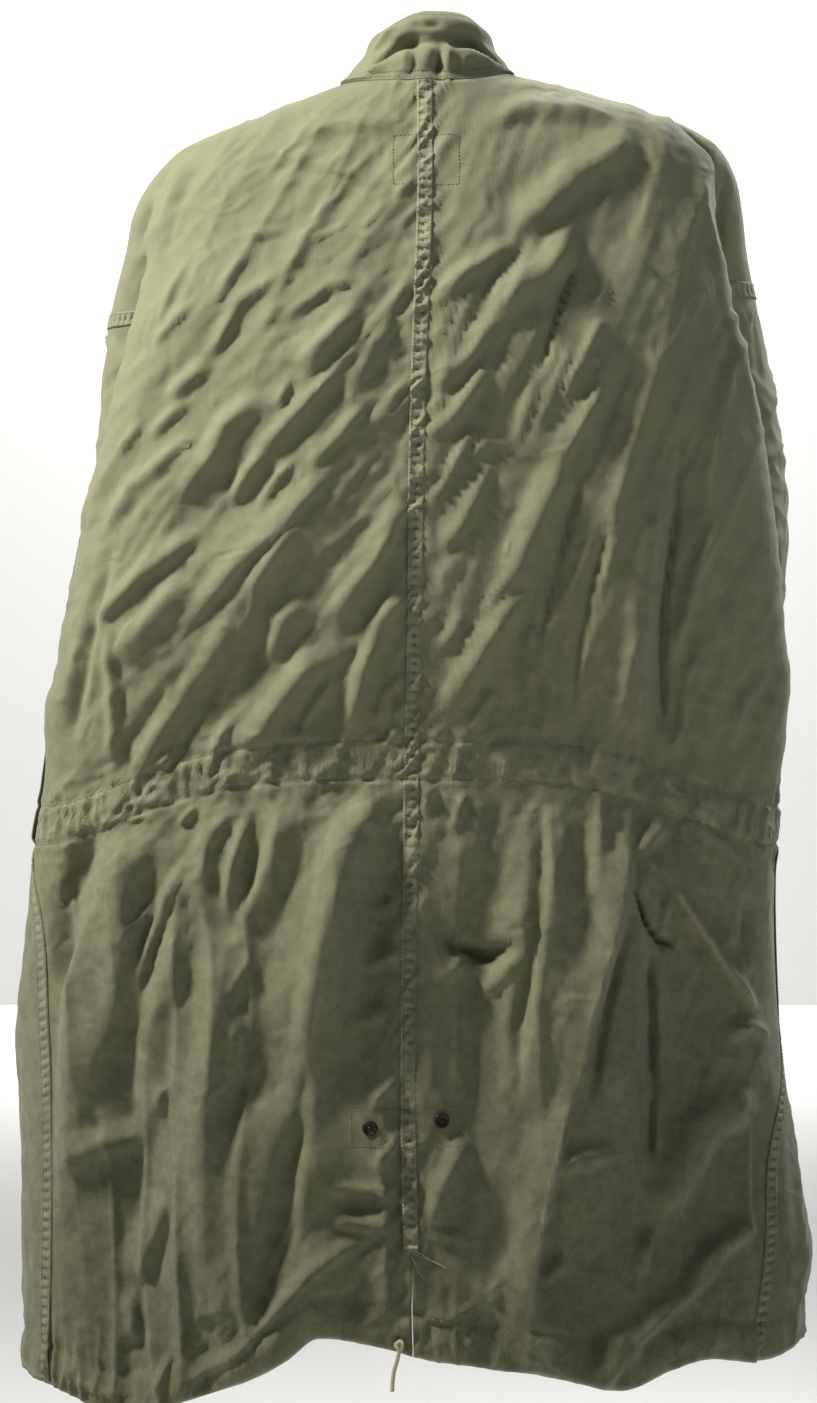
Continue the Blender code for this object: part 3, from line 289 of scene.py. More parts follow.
# The same for a sleeve laid flat: millimetres round the arm from its outer side, and down it.
SLEEVE_CREASES = creases(
    ((30, -150, 110, -190, 190, -180), 16, 12, 5), ((20, -205, 120, -245, 210, -215), 18, 12, 6, 0.1),
    ((60, -290, 150, -270, 230, -300), 16, 14, 5), ((330, -180, 270, -230, 200, -250), 16, 12, 5),
    ((350, -260, 290, -300, 210, -290), 14, 12, 4), ((40, -360, 120, -330, 200, -350), 14, 12, 4),
    ((90, -30, 110, -120, 90, -210), 18, 14, 5), ((150, -20, 175, -110, 160, -190), 16, 14, 4),
    ((320, -60, 300, -150, 330, -240), 18, 14, 5), ((60, -400, 80, -470, 70, -520), 12, 12, 3),
    ((250, -380, 270, -450, 260, -520), 14, 12, 3.5), ((340, -380, 330, -450, 345, -515), 12, 12, 3),
)
# The same for the collar: millimetres across the back, and up from its seam.
COLLAR_CREASES = creases(
    ((16, 3, 14, 14, 18, 26), 5, 6, 2.2, 0.1), ((-12, 2, -15, 18, -20, 34), 6, 5, -2.6),
    ((-23, 4, -25, 20, -26, 38), 6, 6, 2.4, 0.2), ((-36, 4, -38, 14, -42, 22), 5, 5, 1.6),
    ((2, 3, 0, 12, -6, 22), 5, 5, 1.5), ((40, 6, 44, 12, 50, 18), 5, 5, 1.5),
    ((20, 48, 4, 44, -20, 46), 6, 6, -1.6), ((60, 30, 48, 42, 36, 50), 6, 5, 1.6),
)
FRONT_NECK_DROP = 55        # the neckline is this much lower in front
CREASE_ROW = 0.45           # the row where the crease between back and arm begins
ARMHOLE_ROW, WAIST_ROW, HEM_ROW = 1.0, 2.0, 3.0
ARM_HALF_X, ARM_HALF_Y = SLEEVE[0].half_x, SLEEVE[0].half_y
CUFF_KEY, CUFF_END = 1.0, 1.1   # where the cuff begins and ends in the sleeve's table
UNDERARM_GAP = 5.0          # the back's and the front's upper arms stand this far off the body's side
GUSSET_SPREAD = 70          # degrees of the arm's ring that the underarm corner pulls along
HEM_REACH = 0.5             # the hem's own line fades out over this many rows
SPLIT_ROW, SPLIT_HALF = 2.83, 0.3   # where the tail's split begins, and half its width at the hem
# The rim of the collar: its middle and half width, and its depths and heights behind and in front.
COLLAR_TOP_X, COLLAR_TOP_HALF = -10, 42
COLLAR_TOP_BACK_Y, COLLAR_TOP_FRONT_Y = 38, -48
COLLAR_TOP_BACK_Z, COLLAR_TOP_FRONT_Z = 60, 12
COLLAR_SAG = 5.0            # the collar's top hangs this much lower on its left
SEEN_FROM = Vector((9.7, 3600.0, -516.7))   # where the creases' places are seen from

WANDER = 0.6                # how far a wrinkle wanders, as a share of its width
SHARPNESS = 2.2             # above 1 the backs of wrinkles are sharp and their hollows wide
Wrinkle = namedtuple("Wrinkle", "height lean long short seed")
# Fine wrinkles of the upper body, below the waist, beside the centre-back seam and on the sleeves.
UPPER_SLANT = {LEFT: 128.0, RIGHT: 112.0}   # how the upper back's wrinkles run, in degrees
FRONT_LEAN = 25.0           # and the fronts' lean this far from upright, away from the zip
UPPER_WRINKLES = (Wrinkle(1.2, 0, 95, 15, 0), Wrinkle(2.2, -8, 150, 34, 3),
                  Wrinkle(0.6, 20, 22, 8, 11), Wrinkle(0.8, 5, 240, 17, 13))
LOWER_WRINKLES = (Wrinkle(0.6, 0, 95, 15, 0), Wrinkle(0.5, 20, 22, 8, 11))
HANGING_WRINKLES = (Wrinkle(3, 88, 190, 30, 5), Wrinkle(0.9, 86, 340, 19, 17))
SEAM_WRINKLES = (Wrinkle(1.7, 128, 30, 9.5, 0), Wrinkle(0.85, 140, 16, 6, 2))
SLEEVE_WRINKLES = (Wrinkle(2.8, 35, 120, 30, 0), Wrinkle(1.5, -30, 70, 16, 4),
                   Wrinkle(0.8, 80, 60, 11, 8))

# The drawn-in waist and hem.
HALF_GIRTH = 335.0          # millimetres round the waist from a centre line to a side seam
FRONT_OFFSET = 500.0        # the fronts take their gathers from another place in the pattern
WAIST_FALL, HEM_FALL = 415.0, 450.0         # millimetres down for each row there
TUNNEL_HALF = 15.5          # the waist tunnel's stitched rows lie this far from its middle
GATHER_RISE, TUNNEL_PUCKER, TUNNEL_SWELL, STITCH_SINK = 2.4, 2.1, 1.2, 0.9
REACH_ABOVE, REACH_BELOW = 34.0, 52.0       # how far the waist's gathers run
UNEVEN_LENGTH = 60.0        # gathers swell and fade over this length round the body
HEM_HALF = 320.0            # half the hem's width as seen from behind
HEM_WIDTH, HEM_STITCHES, HEM_PUCKER = 28.0, 32.0, 2.2    # its fold, its stitched row and its puckers
HEM_WAVE, HEM_WAVE_LENGTH = 3.5, 34.0

# Sleeves, collar and placed creases.
ARM_DEGREE = 1.12           # millimetres round the sleeve for each degree
SLEEVE_FALL = 530.0         # millimetres down the sleeve
SLEEVE_SEAM_TURN = 200.0    # where the sleeve's own seam lies
COLLAR_HEIGHT = 60.0
COLLAR_LIFT = 0.4           # the collar's cloth starts this far above its solid
FADING_END = 0.3            # a crease rises and fades over this share of its length
RUBBED_HALF = 3.0           # half the width of the rubbed line on a crease's back
CREASE_RISE = 1.9           # the drawn creases stand this much higher than their tables say
STEEPEST = 0.85             # but no higher than this share of their narrower flank
STEEPER = 0.85              # and their dark flanks are this much narrower
LOWER_RISE = 1.6            # and below the waist this much higher again
TALLEST = 15.0              # but none stands higher than this

# Walls of the sheets.
CLOTH_WALL, BAND_WALL, CUFF_WALL, COLLAR_WALL = 1.0, 0.8, 2.2, 2.4
# Felled bands, the waist tunnel, the zip and the stitches.
BAND_TOP_ROW, BAND_END_KEY = 0.978, 0.0123  # where the armhole's band lies on the panel and the sleeve
BAND_HALF, BAND_STAND = 6.5, 0.55           # half a band's width, and how far it stands on the cloth
PUCKER_PERIOD, PUCKER_DEPTH = 8.0, 1.5
CASING_HALF = 0.038         # half the tunnel's height, in rows
ZIP_TOP_ROW, ZIP_END_ROW = 0.04, 2.82
ZIP_GAP = 4.2               # each front's edge stands this far from the zip's middle
EDGE_COLUMNS = (0.0, 3.8, 7.8, 11.8)        # the columns beside the zip, from each front's edge
FIRST_SHARE, NECK_SHARE = 0.07, 0.13        # where a front's next column lies, and its neckline's
STITCHED_HALF = 5.2         # a felled band's stitched rows lie this far from its seam
STITCH_LIFT = 0.25          # and stand this far on it
# Between stitches, half a stitch's width and height, and how far its middle stands on its row.
STITCH_GAP, STITCH_HALF_WIDTH, STITCH_HALF_HEIGHT, STITCH_RISE = 0.9, 0.36, 0.26, 0.22
INNER_SINK, FACING_SINK = 1.5, 2.2          # how far behind the outer cloth the inner strips lie
TAPE_COLUMNS = (2.0, 3.4, 8.0, 12.0, 16.0)  # from the zip's middle
TOOTH_PITCH = 1.6
TOOTH_SIZE, TOOTH_BEVEL = (3.6, 2.4, 1.15), 0.25
TOOTH_SINK, TOOTH_SHIFT = 1.4, 0.9          # how far a tooth lies behind the front, and to its side
CHAIN_MARGIN = 0.8          # no tooth's middle lies nearer to an end of the chain's solid
# The knot of the hem's cord, and the cord's own thickness and route.
KNOT_REACH, KNOT_SWAY, KNOT_DEPTH, KNOT_RADIUS = 2.3, 0.7, 1.3, 1.55
CORD_DIAMETER = 3.5
CORD_ROUTE = ((17.0, 136.2, -1044.1), (18.2, 135.6, -1049.4), (19.6, 135.0, -1055.1),
              (21.5, 134.4, -1061.7), (22.6, 134.1, -1069.5), (23.0, 134.2, -1078.1))
# Outlines of the facings as seen from behind: lowest and highest x, lowest and highest z.
PATCHES = {"neck_patch": (-33, 24, -93, -47), "tail_patch": (-34, 58, -880, -848)}
# A stud's half section: distances from its middle and heights.
SNAP_PROFILE = ((0.0, 0.0), (6.0, 0.0), (6.3, 0.7), (6.1, 1.4), (5.4, 1.9), (4.5, 1.9), (3.9, 1.3),
                (3.2, 1.0), (1.9, 1.0), (1.5, 1.5), (0.8, 1.9), (0.0, 2.0))
# Broken threads at the split, as seen from behind.
FRAYS = (((5, -966), (-4, -970), (-12, -972), (-21, -978)),
         ((4, -964), (-3, -966), (-9, -973), (-15, -975)),
         ((8, -968), (3, -973), (4, -981), (-2, -985)))

# The stage, in metres and watts.
FRAME_HEIGHT = 1.1855       # height in the picture at the parka's own distance
Light = namedtuple("Light", "name place target size power colour")
LIGHTS = (Light("key", (1.7, 0.6, 1.25), (0.0, 0.1, -0.4), 0.3, 118, "#fffdf8"),
          Light("fill", (-1.6, 1.1, 1.1), (0.0, 0.0, -0.4), 0.6, 11, "#f4f7ff"),
          Light("front_key", (-1.3, -1.3, 1.4), (0.0, 0.0, -0.4), 0.6, 80, "#ffffff"),
          Light("backdrop_wash", (0.0, -7.6, 3.2), (0.0, -9.5, -0.4), 4.0, 330, "#ffffff"))
FLOOR_Z, BACKDROP_Y, BOARD_HALF = -1.45, -9.5, 14.0

# How many cells the panels' and sleeves' grids have; COARSE divides them.
Cells = namedtuple("Cells", "yoke body width arm sleeve_round sleeve_down")
COARSE = 1
BACK_CELLS = Cells(52 // COARSE, 212 // COARSE, 150 // COARSE, 50 // COARSE, 0, 0)
FRONT_CELLS = Cells(40 // COARSE, 150 // COARSE, 88 // COARSE, 34 // COARSE, 112 // COARSE, 140 // COARSE)


def smooth(share):
    """A soft step from 0 to 1."""
    share = np.clip(share, 0.0, 1.0)
    return share * share * (3.0 - 2.0 * share)


def mix(first, second, share):
    return first + (second - first) * share


def bump(distance, width):
    """A soft hump, 1 at its middle and 0 a width away."""
    return smooth(1.0 - np.abs(distance) / width)


def points_of(x, y, z):
    return np.stack(np.broadcast_arrays(x, y, z), axis=-1).astype(float)


def unit(vectors):
    return vectors / np.maximum(np.linalg.norm(vectors, axis=-1, keepdims=True), 1e-12)


def read(table, column, key):
    """One column of a table at any keys, on a smooth curve through the table's rows."""
    keys = np.array([row[0] for row in table], float)
    values = np.array([getattr(row, column) for row in table], float)
    key = np.clip(key, keys[0], keys[-1])
    start = np.clip(np.searchsorted(keys, key, side="right"), 1, len(keys) - 1) - 1
    places = np.arange(len(keys))
    before, after = np.maximum(places - 1, 0), np.minimum(places + 1, len(keys) - 1)
    slopes = (values[after] - values[before]) / (keys[after] - keys[before])
    span = keys[start + 1] - keys[start]
    t = (key - keys[start]) / span
    return ((2 * t ** 3 - 3 * t ** 2 + 1) * values[start] + (t ** 3 - 2 * t ** 2 + t) * span * slopes[start]
            + (3 * t ** 2 - 2 * t ** 3) * values[start + 1] + (t ** 3 - t ** 2) * span * slopes[start + 1])


def noise(u, v, seed):
    """Smooth noise from 0 to 1 that changes over one unit of u and of v."""
    lattice = np.random.RandomState(seed).rand(64, 64)
    column, row = np.floor(u).astype(int), np.floor(v).astype(int)
    s, t = smooth(u - column), smooth(v - row)

    def corner(across, down):
        return lattice[(row + down) % 64, (column + across) % 64]

    return mix(mix(corner(0, 0), corner(1, 0), s), mix(corner(0, 1), corner(1, 1), s), t)


def crumple(u, v, slant, long, short, seed):
    """Sharp-backed wrinkles from -1 to 1: long one way, short the other, at a slant in degrees."""
    turn = np.radians(slant)
    along = u * np.cos(turn) + v * np.sin(turn)
    over = v * np.cos(turn) - u * np.sin(turn)
    over = over + WANDER * short * noise(along / long, over / long, seed + 1)
    ridged = 1.0 - np.abs(2.0 * noise(along / long, over / short, seed) - 1.0)
    return 2.0 * ridged ** SHARPNESS - 1.0


def wrinkles(table, u, v, seed, slant=0.0):
    """Several crumples laid over each other, leaning from a common slant."""
    return sum(row.height * crumple(u, v, slant + row.lean, row.long, row.short, seed + row.seed)
               for row in table)


def stroke(crease, x, z):
    """Height of one crease and its wear at places seen from behind."""
    path = np.array(crease.path, float)
    lengths = np.linalg.norm(np.diff(path, axis=0), axis=1)
    total, done = lengths.sum(), 0.0
    best = np.full(np.shape(x), 1e9)
    sign, share = np.ones(np.shape(x)), np.zeros(np.shape(x))
    for (x0, z0), (x1, z1), length in zip(path, path[1:], lengths):
        run_x, run_z = (x1 - x0) / length, (z1 - z0) / length
        forward = np.clip((x - x0) * run_x + (z - z0) * run_z, 0.0, length)
        apart_x, apart_z = x - x0 - forward * run_x, z - z0 - forward * run_z
        apart = np.hypot(apart_x, apart_z)
        nearer = apart < best
        best = np.where(nearer, apart, best)
        sign = np.where(nearer, np.sign(apart_x * run_z - apart_z * run_x), sign)
        share = np.where(nearer, (done + forward) / total, share)
        done += length
    # Seen from behind x runs to the left, so the lit side of an upward stroke has the larger x.
    width = np.where(sign >= 0.0, crease.lit, crease.dark * STEEPER)
    u = np.minimum(best / width, 1.0)
    ends = smooth(share / FADING_END) * smooth((1.0 - share) / FADING_END)
    ends = np.where((share <= 0.0) | (share >= 1.0), 0.0, ends)
    tall = min(CREASE_RISE * crease.height, STEEPEST * min(crease.lit, crease.dark * STEEPER))
    height = tall * (1.0 - u) ** 2 * (1.0 + 1.2 * u) * ends
    return height, bump(best, RUBBED_HALF) * crease.wear * ends


def creases_at(table, x, z):
    """All the creases' height and wear."""
    height, wear = np.zeros(np.shape(x)), np.zeros(np.shape(x))
    for crease in table:
        path = np.array(crease.path, float)
        reach = max(crease.lit, crease.dark, RUBBED_HALF)
        low, high = path.min(axis=0) - reach, path.max(axis=0) + reach
        near = (x > low[0]) & (x < high[0]) & (z > low[1]) & (z < high[1])
        if near.any():
            more, worn = stroke(crease, x[near], z[near])
            height[near] += more
            wear[near] = np.maximum(wear[near], worn)
    return height, wear


def shoulder(side, row):
    """The point of the shoulder seam on a row of the yoke."""
    name = SIDE_NAMES[side]
    return points_of(side * read(SHOULDER, "x_" + name, row), read(SHOULDER, "y", row),
                     read(SHOULDER, "z_" + name, row))


def centre_height(face, row):
    """Height of the centre line, lower at the front of the neck."""
    drop = np.where(face == FRONT, FRONT_NECK_DROP * (1.0 - smooth(row)), 0.0)
    return read(SECTIONS, "z_centre", row) - drop


def torso_point(side, angle, row):
    """A point of the body's own ring: 0 degrees is the centre back, 180 the centre front."""
    edge = side * read(SECTIONS, "edge_" + SIDE_NAMES[side], row)
    centre_x = read(SECTIONS, "centre_x", row)
    edge_y = read(SECTIONS, "edge_y", row)
    sine, cosine = np.sin(np.radians(angle)), np.cos(np.radians(angle))
    size = np.abs(cosine)
    behind = mix(edge_y, read(SECTIONS, "back_y", row), size ** BACK_POWER)
    hollow = size ** read(SECTIONS, "front_power", row)
    before = mix(edge_y, read(SECTIONS, "front_y", row), mix(hollow, size, EDGE_ROUND))
    face = np.where(cosine >= 0.0, BACK, FRONT)
    z = mix(centre_height(face, row), read(SECTIONS, "z_side", row), smooth(sine * sine))
    return points_of(mix(centre_x, edge, sine), np.where(cosine >= 0.0, behind, before), z)


def seam_angle(side, row):
    return read(SECTIONS, "seam_" + SIDE_NAMES[side], row)


def panel_angle(side, face, across, row):
    """Where a share of a panel's width lies on the body's ring."""
    seam = seam_angle(side, row)
    return seam * across if face == BACK else 180.0 - (180.0 - seam) * across


def arm_frame(side, row):
    """Centre and underarm corner of the upper arm's ring, and the corner's angle on it."""
    outer = shoulder(side, row)
    corner = torso_point(side, seam_angle(side, row), row) - np.array([0.0, UNDERARM_GAP, 0.0])
    centre = outer - np.array([side * ARM_HALF_X, 0.0, 0.0])
    turn = np.degrees(np.arctan2((corner[..., 1] - centre[..., 1]) / ARM_HALF_Y,
                                 side * (corner[..., 0] - centre[..., 0]) / ARM_HALF_X)) % 360.0
    return centre, corner, turn


def arm_point(side, turn, row):
    """A point of the upper arm's ring: 0 degrees is outermost, 90 is at its back."""
    centre, corner, corner_turn = arm_frame(side, row)

    def on_ellipse(angle):
        return np.stack([centre[..., 0] + side * ARM_HALF_X * np.cos(np.radians(angle)),
                         centre[..., 1] + ARM_HALF_Y * np.sin(np.radians(angle))], axis=-1)

    apart = np.abs((turn - corner_turn + 180.0) % 360.0 - 180.0)
    pull = smooth(1.0 - apart / GUSSET_SPREAD)
    point, foot = on_ellipse(turn), on_ellipse(corner_turn)
    low = corner[..., 2]
    height = mix(low, centre[..., 2], smooth((1.0 + np.cos(np.radians(turn))) / 2.0))
    flat = point + (corner[..., :2] - foot) * pull[..., None]
    return points_of(flat[..., 0], flat[..., 1], mix(height, low, pull))


def arm_turn(side, face, share, row):
    """The arm ring's angle at a share of the panel's arm part, from the underarm to the seam."""
    start = arm_frame(side, row)[2]
    return start * (1.0 - share) if face == BACK else mix(start, 360.0, share)


def yoke_spread(across):
    """Where a column of the smooth yoke lies, as a share of the way to the shoulder seam."""
    return np.interp(across, *zip(*YOKE_SPREAD))


def cape_point(side, face, across, row):
    """A point of the smooth yoke, with no crease between back and arm."""
    outer = shoulder(side, row)
    depth = read(SECTIONS, "back_y" if face == BACK else "front_y", row)
    angle = np.radians(90.0 * yoke_spread(across))
    sine, cosine = np.sin(angle), np.maximum(np.cos(angle), 0.0)
    power = BACK_POWER if face == BACK else 1.0
    return points_of(mix(read(SECTIONS, "centre_x", row), outer[..., 0], sine),
                     mix(outer[..., 1], depth, cosine ** power),
                     mix(centre_height(face, row), outer[..., 2], smooth(sine * sine)))


def plain_point(side, face, across, row):
    """The panel's surface without its folds. Past 1, across is on the upper arm."""
    torso = torso_point(side, panel_angle(side, face, np.minimum(across, 1.0), row), row)
    yoke_row = np.minimum(row, ARMHOLE_ROW)
    arm = arm_point(side, arm_turn(side, face, np.maximum(across - 1.0, 0.0), yoke_row), yoke_row)
    limb = np.where((across > 1.0)[..., None], arm, torso)
    crease = smooth((row - CREASE_ROW) / (ARMHOLE_ROW - CREASE_ROW))[..., None]
    yoke = mix(cape_point(side, face, across, yoke_row), limb, crease)
    return np.where((row > ARMHOLE_ROW)[..., None], torso, yoke)


def fold_height(folds, x, z):
    """How far the largest folds, which the solids have too, lift the cloth."""
    total = np.zeros(np.shape(x))
    for fold in folds:
        run_x, run_z = fold.x1 - fold.x0, fold.z1 - fold.z0
        share = np.clip(((x - fold.x0) * run_x + (z - fold.z0) * run_z) / (run_x ** 2 + run_z ** 2), 0, 1)
        apart = np.hypot(x - fold.x0 - share * run_x, z - fold.z0 - share * run_z) / fold.width
        ends = 1.0 - np.abs(2.0 * share - 1.0) ** 3
        total += fold.height * ends * np.cos(np.minimum(apart, 1.0) * np.pi / 2.0) ** 2
    return total


def fold_share(face, across, row):
    """Folds fade out at the neckline, the shoulder, the side seams and the zip."""
    rim = smooth(row / 0.2) * smooth((2.0 - across) / 0.5)
    rim = rim * np.where(row > 0.8, mix(1.0, smooth((1.0 - across) / 0.15), smooth((row - 0.8) / 0.2)), 1.0)
    return rim if face == BACK else rim * smooth(across / 0.15)


def hem_shift(face, x, row):
    """How far the hem's own line moves a point up or down."""
    hem = BACK_HEM if face == BACK else FRONT_HEM
    level = mix(read(SECTIONS, "z_centre", HEM_ROW), read(SECTIONS, "z_side", HEM_ROW),
                np.minimum(np.abs(x) / HEM_HALF, 1.0) ** 2)
    wave = HEM_WAVE * (varied(x, HEM_WAVE_LENGTH, 30.0, 37 + face) - 0.5)
    return (read(hem, "z", x) + wave - level) * smooth(1.0 - (HEM_ROW - row) / HEM_REACH)


def varied(distance, length, start, seed):
    """A value from 0 to 1 that wanders along a line, changing over a length."""
    return noise(distance / length + start, 0.5 + 0.0 * distance, seed)


def gathers(side, face, across, row):
    """Puckers of the drawn-in waist and hem, with the tunnel's own swell and its sunken stitched rows."""
    girth = side * across * HALF_GIRTH + FRONT_OFFSET * (face == FRONT)
    down = (row - WAIST_ROW) * WAIST_FALL
    apart = np.abs(down)
    uneven = 0.5 + 0.8 * varied(girth + 0.0 * row, UNEVEN_LENGTH, 9.0, 31)
    wide = crumple(girth + 0.2 * down, down, 0.0, 12.5, 150.0, 44)
    inner = crumple(girth - 0.15 * down, down, 0.0, 9.0, 34.0, 43)
    outside = smooth((apart - 13.0) / 5.0)
    reach = np.where(down > 0.0, REACH_BELOW, REACH_ABOVE)
    fade = smooth(1.0 - (apart - TUNNEL_HALF) / reach)
    height = uneven * (outside * fade * fade * wide * GATHER_RISE
                       + (1.0 - outside) * (inner * TUNNEL_PUCKER + TUNNEL_SWELL))
    rows = bump(apart - TUNNEL_HALF, 4.5)
    height = height * (1.0 - 0.55 * rows) - rows * STITCH_SINK
    above_hem = (HEM_ROW - row) * HEM_FALL
    hem = bump(above_hem, 80.0) * (0.4 + 0.9 * varied(girth + 0.0 * row, UNEVEN_LENGTH, 3.0, 33))
    pucker = crumple(girth, above_hem, 0.0, 14.0, 60.0, 47)
    height = height + hem * pucker * HEM_PUCKER
    height = height + bump(above_hem - HEM_WIDTH / 2.0, 18.0) * 1.5
    height = height - bump(above_hem - HEM_STITCHES, 5.0) * 1.4
    worn = 0.35 * smooth(inner) * (1.0 - outside) + 0.12 * rows + bump(above_hem, 4.0) * 0.6
    drawn_in = smooth(1.0 - apart / REACH_ABOVE) + 0.7 * bump(above_hem, 60.0)
    return height, worn, drawn_in


def seam_puckers(x, z, face, row):
    """Short pulls that run out from the centre-back seam."""
    if face == FRONT:
        return 0.0 * x
    apart = np.abs(x - read(SECTIONS, "centre_x", row))
    return bump(apart, 46.0) * bump(apart - 14.0, 60.0) * wrinkles(SEAM_WRINKLES, x, z, 51)


def crumpling(side, face, x, z, row):
    """Finer wrinkles: slanted across the upper body, upright below the waist."""
    lower = smooth((row - 1.8) / 0.4)
    seed = 60 + 7 * (side == LEFT) + 20 * (face == FRONT)
    slant = UPPER_SLANT[side] if face == BACK else 90.0 - side * FRONT_LEAN
    drape = mix(wrinkles(UPPER_WRINKLES, x, z, seed, slant),
                wrinkles(LOWER_WRINKLES, x, z, seed, slant) + wrinkles(HANGING_WRINKLES, x, z, seed), lower)
    amount = 0.45 + 0.9 * noise(x / 90.0 + 20.0, z / 90.0 + 40.0, seed + 2)
    calm = mix(1.0, 0.45, smooth((CREASE_ROW - row) / 0.3))
    return amount * calm * drape


def surface(side, face, across, row, along=0.0):
    """Outer points, normals and wear of a panel, with along more millimetres across it."""
    across, row, along = np.broadcast_arrays(np.asarray(across, float), np.asarray(row, float),
                                             np.asarray(along, float))
    step = 0.004    # in columns and rows, for finding the normal
    run = plain_point(side, face, across + step, row) - plain_point(side, face, across - step, row)
    below = np.where(across <= 1.0, row + step, np.minimum(row + step, ARMHOLE_ROW))
    fall = plain_point(side, face, across, below) - plain_point(side, face, across, row - step)
    normal = unit(np.cross(run, fall)) * side * face
    level = unit(normal * np.array([1.0, 1.0, 0.0]))
    normal = np.where(((row == ARMHOLE_ROW) & (across > 1.0))[..., None], level, normal)
    point = plain_point(side, face, across, row) + unit(run) * along[..., None]
    share = fold_share(face, across, row)
    folds = BACK_FOLDS if face == BACK else FRONT_FOLDS
    nearer = SEEN_FROM.y / (SEEN_FROM.y - face * point[..., 1])
    x = SEEN_FROM.x + (point[..., 0] - SEEN_FROM.x) * nearer
    z = SEEN_FROM.z + (point[..., 2] - SEEN_FROM.z) * nearer
    drawn, wear = creases_at(BACK_CREASES if face == BACK else FRONT_CREASES, x, z)
    deeper = mix(1.0, LOWER_RISE, smooth((row - 1.9) / 0.3))
    drawn = drawn * deeper
    drawn = TALLEST * np.tanh(drawn / TALLEST) + crumpling(side, face, x, z, row)
    drawn = drawn * smooth((1.0 - np.abs(across - 1.0)) / 0.06 + 0.25) * smooth((HEM_ROW - row) / 0.05 + 0.3)
    pulled, pulled_wear, _ = gathers(side, face, across, row)
    height = (fold_height(folds, point[..., 0], point[..., 2]) * deeper + drawn) * share
    height = height + pulled * smooth((2.0 - across) / 0.5) + seam_puckers(x, z, face, row)
    point = point + normal * height[..., None]
    point[..., 2] += hem_shift(face, point[..., 0], row)
    if face == BACK:
        ragged = 0.55 + 0.9 * noise(row * 34.0, 0.5 + 0.0 * row, 91 + side)
        opening = SPLIT_HALF * ragged * smooth((row - SPLIT_ROW) / (HEM_ROW - SPLIT_ROW) * 2.0)
        point[..., 0] += side * opening * (1.0 - smooth(across / 0.3)) * (row > SPLIT_ROW)
    return point, normal, np.clip(wear + pulled_wear, 0.0, 1.0)


def pulled_in(side, face, across, row):
    """How tightly stitches draw the cloth together at a place, from 0 to 1."""
    return np.clip(gathers(side, face, across, row)[2], 0.0, 1.0)


def sleeve_surface(side, turn, key):
    """Outer points, normals and wear of a sleeve."""
    turn, key = np.broadcast_arrays(np.asarray(turn, float), np.asarray(key, float))

    def plain(angle, at):
        def on_ring(where):
            return points_of(side * (read(SLEEVE, "x_" + SIDE_NAMES[side], where)
                                     + read(SLEEVE, "half_x", where) * np.cos(np.radians(angle))),
                             read(SLEEVE, "y", where)
                             + read(SLEEVE, "half_y", where) * np.sin(np.radians(angle)),
                             read(SLEEVE, "z", where))
        start = arm_point(side, angle, np.ones(np.shape(angle))) - on_ring(np.zeros(np.shape(angle)))
        return on_ring(at) + start * (1.0 - smooth(at / 0.25))[..., None]

    run = plain(turn + 1.0, key) - plain(turn - 1.0, key)
    fall = plain(turn, key + 0.01) - plain(turn, np.maximum(key - 0.01, 0.0))
    normal = unit(np.cross(run, fall)) * -side
    level = unit(normal * np.array([1.0, 1.0, 0.0]))
    normal = mix(level, normal, smooth(key / 0.02)[..., None])
    round_arm, down = turn * ARM_DEGREE, key * SLEEVE_FALL
    seed = 130 if side == LEFT else 160

    def wrinkled(across):
        amount = 0.4 + 0.9 * noise(across / 80.0, down / 80.0, seed + 2)
        return wrinkles(SLEEVE_WRINKLES, across, down, seed) * amount

    # The wrinkles' pattern has to meet itself where the sleeve closes.
    wrapped = mix(wrinkled(round_arm), wrinkled(round_arm - 360.0 * ARM_DEGREE),
                  smooth((turn - 310.0) / 50.0))
    drawn, wear = creases_at(SLEEVE_CREASES, round_arm, -down)
    edge = smooth(key / 0.05) * smooth((CUFF_KEY + 0.02 - key) / 0.06)
    seam = np.abs((turn - SLEEVE_SEAM_TURN + 180.0) % 360.0 - 180.0) * ARM_DEGREE
    rungs = bump(seam, 9.0) * (0.6 + 0.8 * np.sin(down * math.tau / PUCKER_PERIOD))
    height = (wrapped + drawn) * edge + rungs
    return plain(turn, key) + normal * height[..., None], normal, np.clip(wear + 0.15 * rungs, 0.0, 1.0)


def neck_turn(face, across):
    """The angle round the neck of a column of the neckline: 0 degrees is the centre back."""
    turn = 90.0 * yoke_spread(across)
    return turn if face == BACK else 180.0 - turn


